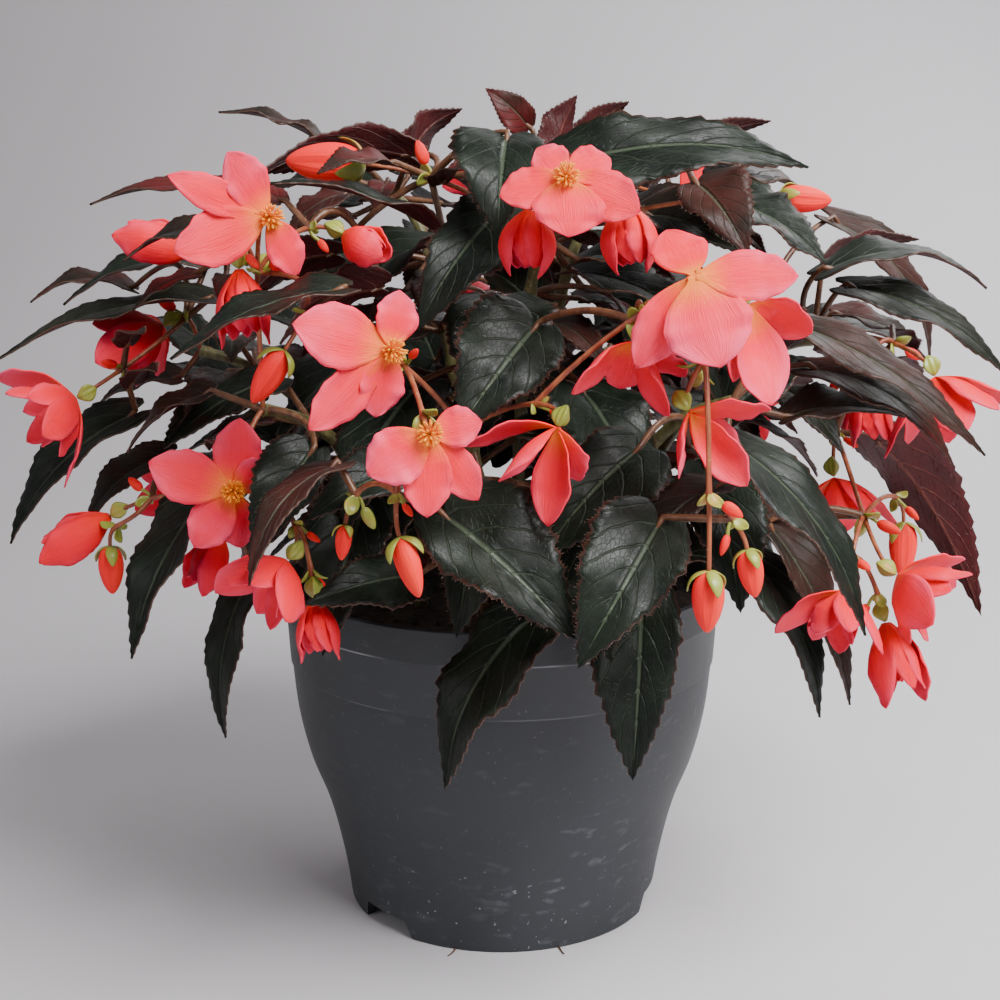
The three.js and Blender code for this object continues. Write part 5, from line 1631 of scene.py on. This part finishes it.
def reshaped(thing, points, looks):
    """Gives a piece new places for its points, in mm, and its finish."""
    thing.data.vertices.foreach_set("co", (points * MM).ravel())
    thing.data.materials.append(looks.material)
    thing.data.update()
    pick(thing)
    bpy.ops.object.shade_smooth()
    return thing


def pod(name, at, face):
    """A pod of three thin wings behind a bloom."""
    thing = ball(name, 36, 14)
    p = places_of(thing)
    turn = np.arctan2(p[:, 1], p[:, 0])
    wing = np.abs(np.cos(WINGS / 2 * turn)) ** 14
    level = (POD_RADIUS + WING_REACH * wing * (1 - p[:, 2] ** 2))[:, None] * p[:, :2]
    shape = np.column_stack([level, POD_HALF * p[:, 2]])
    return reshaped(thing, shape @ turn_from_up(face).T + at - face * POD_BEHIND, pod_skin)


def bud(bloom, around=BUD_AROUND, high=BUD_HIGH, looks=bud_skin):
    """A closed bud, with its foot at the bloom's middle."""
    size, face = bloom["size"], bloom["face"]
    thing = ball(bloom["name"] + "_bud", around, high)
    p = places_of(thing)
    turn = np.arctan2(p[:, 1], p[:, 0])
    seam = np.exp(-(np.cos(turn) / 0.16) ** 2)
    swell = (1 - 0.24 * p[:, 2] - 0.12 * p[:, 2] ** 5) * (1 - SEAM_DEPTH * seam * (1 - p[:, 2] ** 2))
    shape = np.column_stack([
        size * BUD_WIDE * p[:, 0] * swell,
        size * BUD_DEEP * p[:, 1] * swell,
        size * 0.5 * (p[:, 2] + 1),
    ])
    return reshaped(thing, shape @ turn_from_up(face).T + bloom["middle"], looks)


print("faces of a bud:", BUD_AROUND * BUD_HIGH)

# %% [markdown]
# Each bloom of the layout is put together and takes the place of its solid: tepals and a pod, or a bud
# with its bracts. The stamens are a solid of their own, so they come later.

# %% All the blooms
for bloom in blooms:
    name = bloom["name"]
    if bloom["blades"]:
        parts = [corolla(bloom)]
        if not bloom["stamens"]:
            parts.append(pod(name + "_pod", bloom["middle"], bloom["face"]))
    else:
        parts = [bud(bloom), bud_bracts(bloom)]
    flower = joined(parts, name + "_flower")
    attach(flower, "root")
    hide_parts(name)
print("blooms and buds:", len(blooms))

# %% [markdown]
# ### Where the stalks fork
# At nearly every fork a bud of some millimetres stands on a short stalk of its own, green or coral,
# between two bracts. They only grow where the cells of room are still free. All of them are one piece,
# because they are too small for a solid each.

# %% Small buds and bracts where the stalks fork
SMALL_STALK, SMALL_RADIUS, SMALL_SUNK = 7, 0.8, 0.5  # mm
SMALL_AROUND, SMALL_HIGH = 14, 9
fork_blades, small_buds, small_stalks = [], [], []


def small_shoot(stalk, owner):
    """The first turn round a fork at which a small bud has room, with its ways and its size."""
    at = stalk["fork"]
    way = unit(stalk["curve"].at(0.75) - at)
    for turn in range(0, 360, 45):
        out = turn_from_up(way) @ turned((1, 0, 0), turn + chance.uniform(-15, 15))
        lean = unit(out + way * 0.7)
        size = chance.uniform(7, 12)
        spots = [at + lean * reach for reach in (6, SMALL_STALK + size * 0.5, SMALL_STALK + size)]
        if is_free(np.array(spots), owner):
            return [(at, way, turn, out, lean, size)]
    return []


shoots = [shoot for stem in stems for stalk in stem["stalks"] for shoot in small_shoot(stalk, stem["owner"])]
for number, (at, way, turn, out, lean, size) in enumerate(shoots):
    path = Curve(at, at + out * 3, at + lean * SMALL_STALK).at(np.linspace(0, 1, 6))
    small_stalks.append((path, np.full(len(path), SMALL_RADIUS), 0))
    foot = at + lean * (SMALL_STALK - SMALL_SUNK)
    shoot = {"name": f"small_{number}", "size": size, "face": lean, "middle": foot}
    looks = pod_skin if turn % 90 else bud_skin
    small_buds.append(bud(shoot, SMALL_AROUND, SMALL_HIGH, looks))
    for side in (70, 250):
        out = turn_from_up(way) @ turned((1, 0, 0), turn + side)
        tip = at + out * size * 0.75 + way * size * 0.5
        fork_blades.append(Blade(at + out, tip, unit(way - out * 0.4), size * 0.6, 0.2, -0.25))
forks = [bracts("fork", fork_blades), tubes("fork_stalks", small_stalks, (pod_skin,))]
forks = joined(forks + small_buds, "fork_growth")
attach(forks, "root")
remove(tepal_sheet, bract_sheet)
print("small buds:", len(small_buds), "bracts:", len(fork_blades))

# %% [markdown]
# ## Stamens
# In the middle of an open bloom stands a tuft of orange stamens. One stamen, a thin thread with a
# swollen end, is made once, and its copies spread over the front of a ball.

# %% One stamen and its copies
STAMENS, TUFT_HEIGHT = 40, 0.82  # how many, and how far down the ball they spread
THREAD = {"vertices": 5, "radius1": 0.35, "radius2": 0.25, "depth": 0.75}


def make_stamen():
    """A stamen on +Z: its widths in mm, its length 1, to be stretched."""
    deselect()
    bpy.ops.mesh.primitive_cone_add(**THREAD, location=(0, 0, THREAD["depth"] / 2))
    thread = fresh("stamen_thread")
    deselect()
    bpy.ops.mesh.primitive_uv_sphere_add(segments=6, ring_count=4, radius=1, location=(0, 0, 0))
    anther = fresh("stamen_anther")
    shape = places_of(anther) * vec(0.62, 0.62, 0.3) + vec(0, 0, 0.78)
    anther.data.vertices.foreach_set("co", shape.ravel())
    pick(thread)
    settle()
    return joined([thread, anther], "stamen")


stamen = make_stamen()
stamen_shape = places_of(stamen)
for bloom in [bloom for bloom in blooms if bloom["stamens"]]:
    face = bloom["face"]
    foot = bloom["middle"] + face * BLADE * 0.5
    copies = []
    for number in range(STAMENS):
        height = 1 - (number + 0.5) / STAMENS * TUFT_HEIGHT
        turn = number * GOLDEN_TURN + chance.uniform(-0.2, 0.2)
        level = math.sqrt(1 - height * height)
        way = turn_from_up(face) @ vec(level * math.cos(turn), level * math.sin(turn), height)
        reach = TUFT_RADIUS * (0.95 + 0.85 * height) * chance.uniform(0.9, 1.0)
        long = stamen_shape * vec(1, 1, reach)
        copies.append(laid_out(stamen, f"stamen_{number}", long @ turn_from_up(way).T + foot))
    tuft = joined(copies, f"{bloom['name']}_tuft")
    tuft.data.materials.append(pollen.material)
    bpy.ops.object.shade_smooth()
    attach(tuft, "root")
    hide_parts(f"stamens_{bloom['name']}")
remove(stamen)
print("tufts:", sum(bloom["stamens"] for bloom in blooms))

# %% [markdown]
# ## The pot
# A nursery pot is moulded plastic: one thin wall, a band round the rim, a fine seam below it, and
# three notches in the foot for the water to run off. Its slate grey is scuffed where it was handled,
# pale where the rim and the seam stand out, and flecked near the ground. Each of these is a mask from
# noise and from the height, laid over the last colour.

# %% Pot finish
GREY_DARK, GREY_LIGHT, DUST_GREY = (0.015, 0.0185, 0.022), (0.024, 0.028, 0.034), (0.075, 0.08, 0.088)
SCUFF_GREY, LIP_GREY, SEAM_GREY = (0.3, 0.31, 0.33), (0.3, 0.3, 0.31), (0.18, 0.18, 0.19)
LIP_HEIGHT, SEAM_HEIGHT = 160.2, 133.2  # mm

plastic = Looks("nursery_pot_plastic", Coat_Weight=0.0)
place = plastic.place()
clouds = plastic.noise(place, 14.0, 4.0)
smears = plastic.noise(plastic.stretched(place, (1, 1, 2.2)), 75.0, 9.0).between(0.56, 0.76)
specks = plastic.noise(place, 420.0, 2.0).between(0.7, 0.74)
dust = plastic.noise(place, 7.0, 6.0).between(0.5, 0.8)
grey = plastic.mix(clouds, GREY_DARK, GREY_LIGHT)
grey = plastic.mix(dust * 0.35, grey, DUST_GREY)
height = plastic.part(place, 2) * 1000
low_down = 1 - height.between(12, 60)
scuffs = smears * (dust * 0.4 + 0.05) + specks * (0.15 + low_down * 0.7)
grey = plastic.mix(scuffs, grey, SCUFF_GREY)
# pale broken lines in the colour along the band foot and the seam, shown where a stretched noise lets them
# through
line_patches = plastic.noise(plastic.stretched(place, (1, 1, 0.2)), 35.0, 5.0).between(0.42, 0.62)
lip = 1 - abs(height - LIP_HEIGHT).between(0.3, 1.1)
grey = plastic.mix(lip * line_patches * 0.75, grey, LIP_GREY)
seam = 1 - abs(height - SEAM_HEIGHT).between(0.2, 0.7)
grey = plastic.mix(seam * line_patches * 0.4, grey, SEAM_GREY)
plastic.set("Base Color", grey)
plastic.set("Roughness", clouds * 0.16 + dust * 0.2 + 0.42)
plastic.set("Normal", plastic.bump(plastic.noise(place, 700.0) * 0.4 + smears, 0.0003, 0.6))
print("nodes in the plastic:", len(plastic.tree.nodes))

# %% [markdown]
# A turned thing is quickest made from its profile: the outline of half a cut through it. The Screw
# modifier turns the profile round the upright axis. Below the seam the wall swells in one soft curve,
# which goes through the radii measured at eight heights.

# %% The pot's profile
FLOOR_UNDER, FLOOR_Z = 12, 15
WALL_HEIGHTS = (-20, 0, 33, 61, 80, 106, 133, 160)
WALL_RADII = (80, 81.5, 86.8, 94, 101.2, 107.4, 110.3, 112.6)


def bulge(low, high):
    """The wall's smooth outside between two heights, a curve through the radii above."""
    z = np.linspace(low, high, 34)
    slopes = np.gradient(WALL_RADII, WALL_HEIGHTS)
    part = np.clip(np.searchsorted(WALL_HEIGHTS, z) - 1, 0, len(WALL_HEIGHTS) - 2)
    r0, r1 = np.take(WALL_RADII, part), np.take(WALL_RADII, part + 1)
    z0, gap = np.take(WALL_HEIGHTS, part), np.diff(WALL_HEIGHTS)[part]
    t = (z - z0) / gap
    bend0, bend1 = slopes[part] * gap, slopes[part + 1] * gap
    r = (2 * t ** 3 - 3 * t ** 2 + 1) * r0 + (t ** 3 - 2 * t ** 2 + t) * bend0
    r += (3 * t ** 2 - 2 * t ** 3) * r1 + (t ** 3 - t ** 2) * bend1
    return list(zip(r, z))


POT_PROFILE = [
    # under the floor, down the foot ring's inside and round its edge
    (0, FLOOR_UNDER), (75.2, FLOOR_UNDER), (75.9, 11.2), (76, 0.7), (76.5, 0), (80.9, 0), (81.5, 0.6),
    # the outside with its seam, and the rim band
    *bulge(2, 132), (110.2, 132.5), (110.4, 133), (110.9, 133.1), (111.1, 133.6),
    (112.6, 159.5), (112.9, 160), (114.6, 160), (115, 160.5), (115.4, 176.3), (114.9, 177), (113.4, 177),
    # the inside, down to the floor
    (112.9, 176.4), (inside_radius(150), 150), (inside_radius(80), 80), (inside_radius(33), 33),
    (FOOT_RADIUS - 1.6, FLOOR_Z), (0, FLOOR_Z),
]
print("points in the profile:", len(POT_PROFILE))


# %% The pot's wall
def turned_body(name, profile, steps):
    """A closed body made by turning a profile, in mm, round the upright axis."""
    deselect()
    bpy.ops.curve.primitive_bezier_curve_add()
    thing = fresh(name)
    thing.data.splines.clear()
    line = thing.data.splines.new("POLY")
    line.points.add(len(profile) - 1)
    for point, (radius, z) in zip(line.points, profile):
        point.co = (radius * MM, 0, z * MM, 1)
    pick(thing)
    bpy.ops.object.convert(target="MESH")
    screw = thing.modifiers.new("turn", "SCREW")
    screw.steps = screw.render_steps = steps
    screw.use_merge_vertices = True
    bpy.ops.object.modifier_apply(modifier=screw.name)
    bpy.ops.object.mode_set(mode="EDIT")
    bpy.ops.mesh.select_all(action="SELECT")
    bpy.ops.mesh.remove_doubles(threshold=0.00001)
    bpy.ops.mesh.normals_make_consistent(inside=False)
    bpy.ops.object.mode_set(mode="OBJECT")
    return fresh(name)


pot = turned_body("pot_body", POT_PROFILE, 128)
print("pot wall faces:", len(pot.data.polygons))

# %% [markdown]
# Water leaves through six holes in the raised floor and three notches in the foot ring. All the
# cutters are joined to one, so that a single Boolean takes them away.

# %% Notches and drain holes
NOTCH_HEIGHT, NOTCH_ANGLE, NOTCH_TURNS = 10, 23, (-47, 75, 195)
DRAINS, DRAIN_RADIUS, DRAIN_RING = 6, 5, 45


def notch(turn):
    """A block with slanting sides across the foot ring."""
    deselect()
    bpy.ops.mesh.primitive_cube_add(size=1, location=(0, 0, 0))
    cutter = fresh("notch")
    half = (FOOT_RADIUS + 12) * math.sin(math.radians(NOTCH_ANGLE) / 2)
    for corner in cutter.data.vertices:
        x, y, z = corner.co
        width = half - 4 if z > 0 else half
        place = (math.copysign(width, x), -(FOOT_RADIUS + 2) + 24 * y, NOTCH_HEIGHT if z > 0 else -1)
        corner.co = turned(place, turn) * MM
    return cutter


def drain(number):
    a = number * math.pi * 2 / DRAINS
    deselect()
    place = (DRAIN_RING * math.cos(a) * MM, DRAIN_RING * math.sin(a) * MM, FLOOR_UNDER * MM)
    bpy.ops.mesh.primitive_cylinder_add(vertices=24, radius=DRAIN_RADIUS * MM, depth=0.02, location=place)
    settle()
    return fresh("drain")


cutters = [notch(turn) for turn in NOTCH_TURNS] + [drain(number) for number in range(DRAINS)]
cutters = joined(cutters, "cutters")
pick(pot)
cut = pot.modifiers.new("openings", "BOOLEAN")
cut.operation = "DIFFERENCE"
cut.solver = "EXACT"
cut.object = cutters
bpy.ops.object.modifier_apply(modifier=cut.name)
bpy.ops.object.shade_smooth_by_angle(angle=math.radians(35))
pot.data.materials.clear()
pot.data.materials.append(plastic.material)
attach(pot, "root")
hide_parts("pot")
remove(cutters)
print("pot faces after the cuts:", len(pot.data.polygons))

# %% [markdown]
# Two red-brown rootlets have grown out under the foot in front. They are tubes like the stalks.

# %% Rootlets
ROOTLETS = ((-22, -5), (28, 3))  # mm: where each leaves the foot, and how far it bends sideways
rootlets = []
for x, bend in ROOTLETS:
    t = np.linspace(0, 1, 12)
    foot = -math.sqrt(FOOT_RADIUS ** 2 - x * x)
    path = Curve(vec(x, foot + 8, 0.75), vec(x + bend * 0.2, foot - 3, 0.6), vec(x + bend, foot - 7, 0.6))
    rootlets.append((path.at(t), 0.5 - 0.2 * t, 0))
roots = tubes("rootlets", rootlets, (petiole_skin,))
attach(roots, "root")
print("rootlets:", len(rootlets))

# %% [markdown]
# ## The soil
# Peat is dark brown, nearly black where it is damp, with red-brown fibres. The surface is turned
# like the pot's wall and then made uneven. Loose crumbs and fibres lie on it.

# %% Soil finish
PEAT_DARK, PEAT_LIGHT, FIBRE_BROWN = (0.008, 0.005, 0.004), (0.045, 0.026, 0.015), (0.16, 0.07, 0.03)

peat = Looks("peat")
place = peat.place()
lumps = peat.noise(place, 160.0, 8.0)
fibres = peat.noise(peat.stretched(place, (1, 6, 1)), 190.0, 5.0).between(0.6, 0.7)
earth = peat.mix(lumps.between(0.3, 0.7), PEAT_DARK, PEAT_LIGHT)
peat.set("Base Color", peat.mix(fibres * 0.6, earth, FIBRE_BROWN))
peat.set("Roughness", lumps * 0.2 + 0.75)
peat.set("Normal", peat.bump(lumps + fibres, 0.002, 1.0))
print("nodes in the peat:", len(peat.tree.nodes))

# %% Soil surface
SOIL_RADIUS, SOIL_DOME, SOIL_RISE = 108, 5, 2  # mm
SOIL_SIDE = [(109, 160), (107, 140), (0, 140)]
LUMP_SCALE, LUMP_HEIGHT, LUMP_SUNK = 0.09, 1.8, 0.6


def soil_height(radius):
    """The soil is highest in the middle and falls evenly to its edge."""
    return SOIL_TOP + SOIL_RISE - SOIL_DOME * radius / SOIL_RADIUS


soil_rings = [(radius, soil_height(radius)) for radius in range(0, SOIL_RADIUS + 1, 3)]
soil = turned_body("soil_body", soil_rings + SOIL_SIDE, 110)
for point in soil.data.vertices:
    x, y, z = point.co / MM
    if z > 155 and math.hypot(x, y) < SOIL_RADIUS:
        rough = noise.fractal(Vector((x, y, 0)) * LUMP_SCALE, 0.9, 2.1, 5) * LUMP_HEIGHT
        point.co.z += (rough - LUMP_SUNK) * MM
pick(soil)
bpy.ops.object.shade_smooth()
soil.data.materials.clear()
soil.data.materials.append(peat.material)
print("faces of the soil's surface:", len(soil.data.polygons))

# %% [markdown]
# Loose crumbs make the surface rough where light grazes it. One pebble with twenty faces is copied,
# each time in another size, and every fifth copy is drawn out to a fibre.

# %% Crumbs and fibres
CRUMBS, CRUMB_REACH, FIBRE = 220, 106, vec(3.2, 0.4, 0.4)

deselect()
bpy.ops.mesh.primitive_ico_sphere_add(subdivisions=1, radius=1, location=(0, 0, 0))
crumb = fresh("crumb")
crumb_points = places_of(crumb)
crumbs = []
for number in range(CRUMBS):
    a = chance.uniform(0, 2 * math.pi)
    radius = CRUMB_REACH * math.sqrt(chance.random())
    size = vec(*[chance.uniform(0.7, 2.4) for _ in range(3)]) * (1 if number % 5 else FIBRE)
    at = vec(radius * math.cos(a), radius * math.sin(a), soil_height(radius))
    shape = np.array([turned(point, number * 47) for point in crumb_points * size])
    crumbs.append(laid_out(crumb, f"crumb_{number}", shape + at))
loose = joined(crumbs, "loose_peat")
loose.data.materials.append(peat.material)
soil = joined([soil, loose], "soil_body")
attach(soil, "root")
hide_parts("soil")
remove(crumb)
print("soil faces:", len(soil.data.polygons))
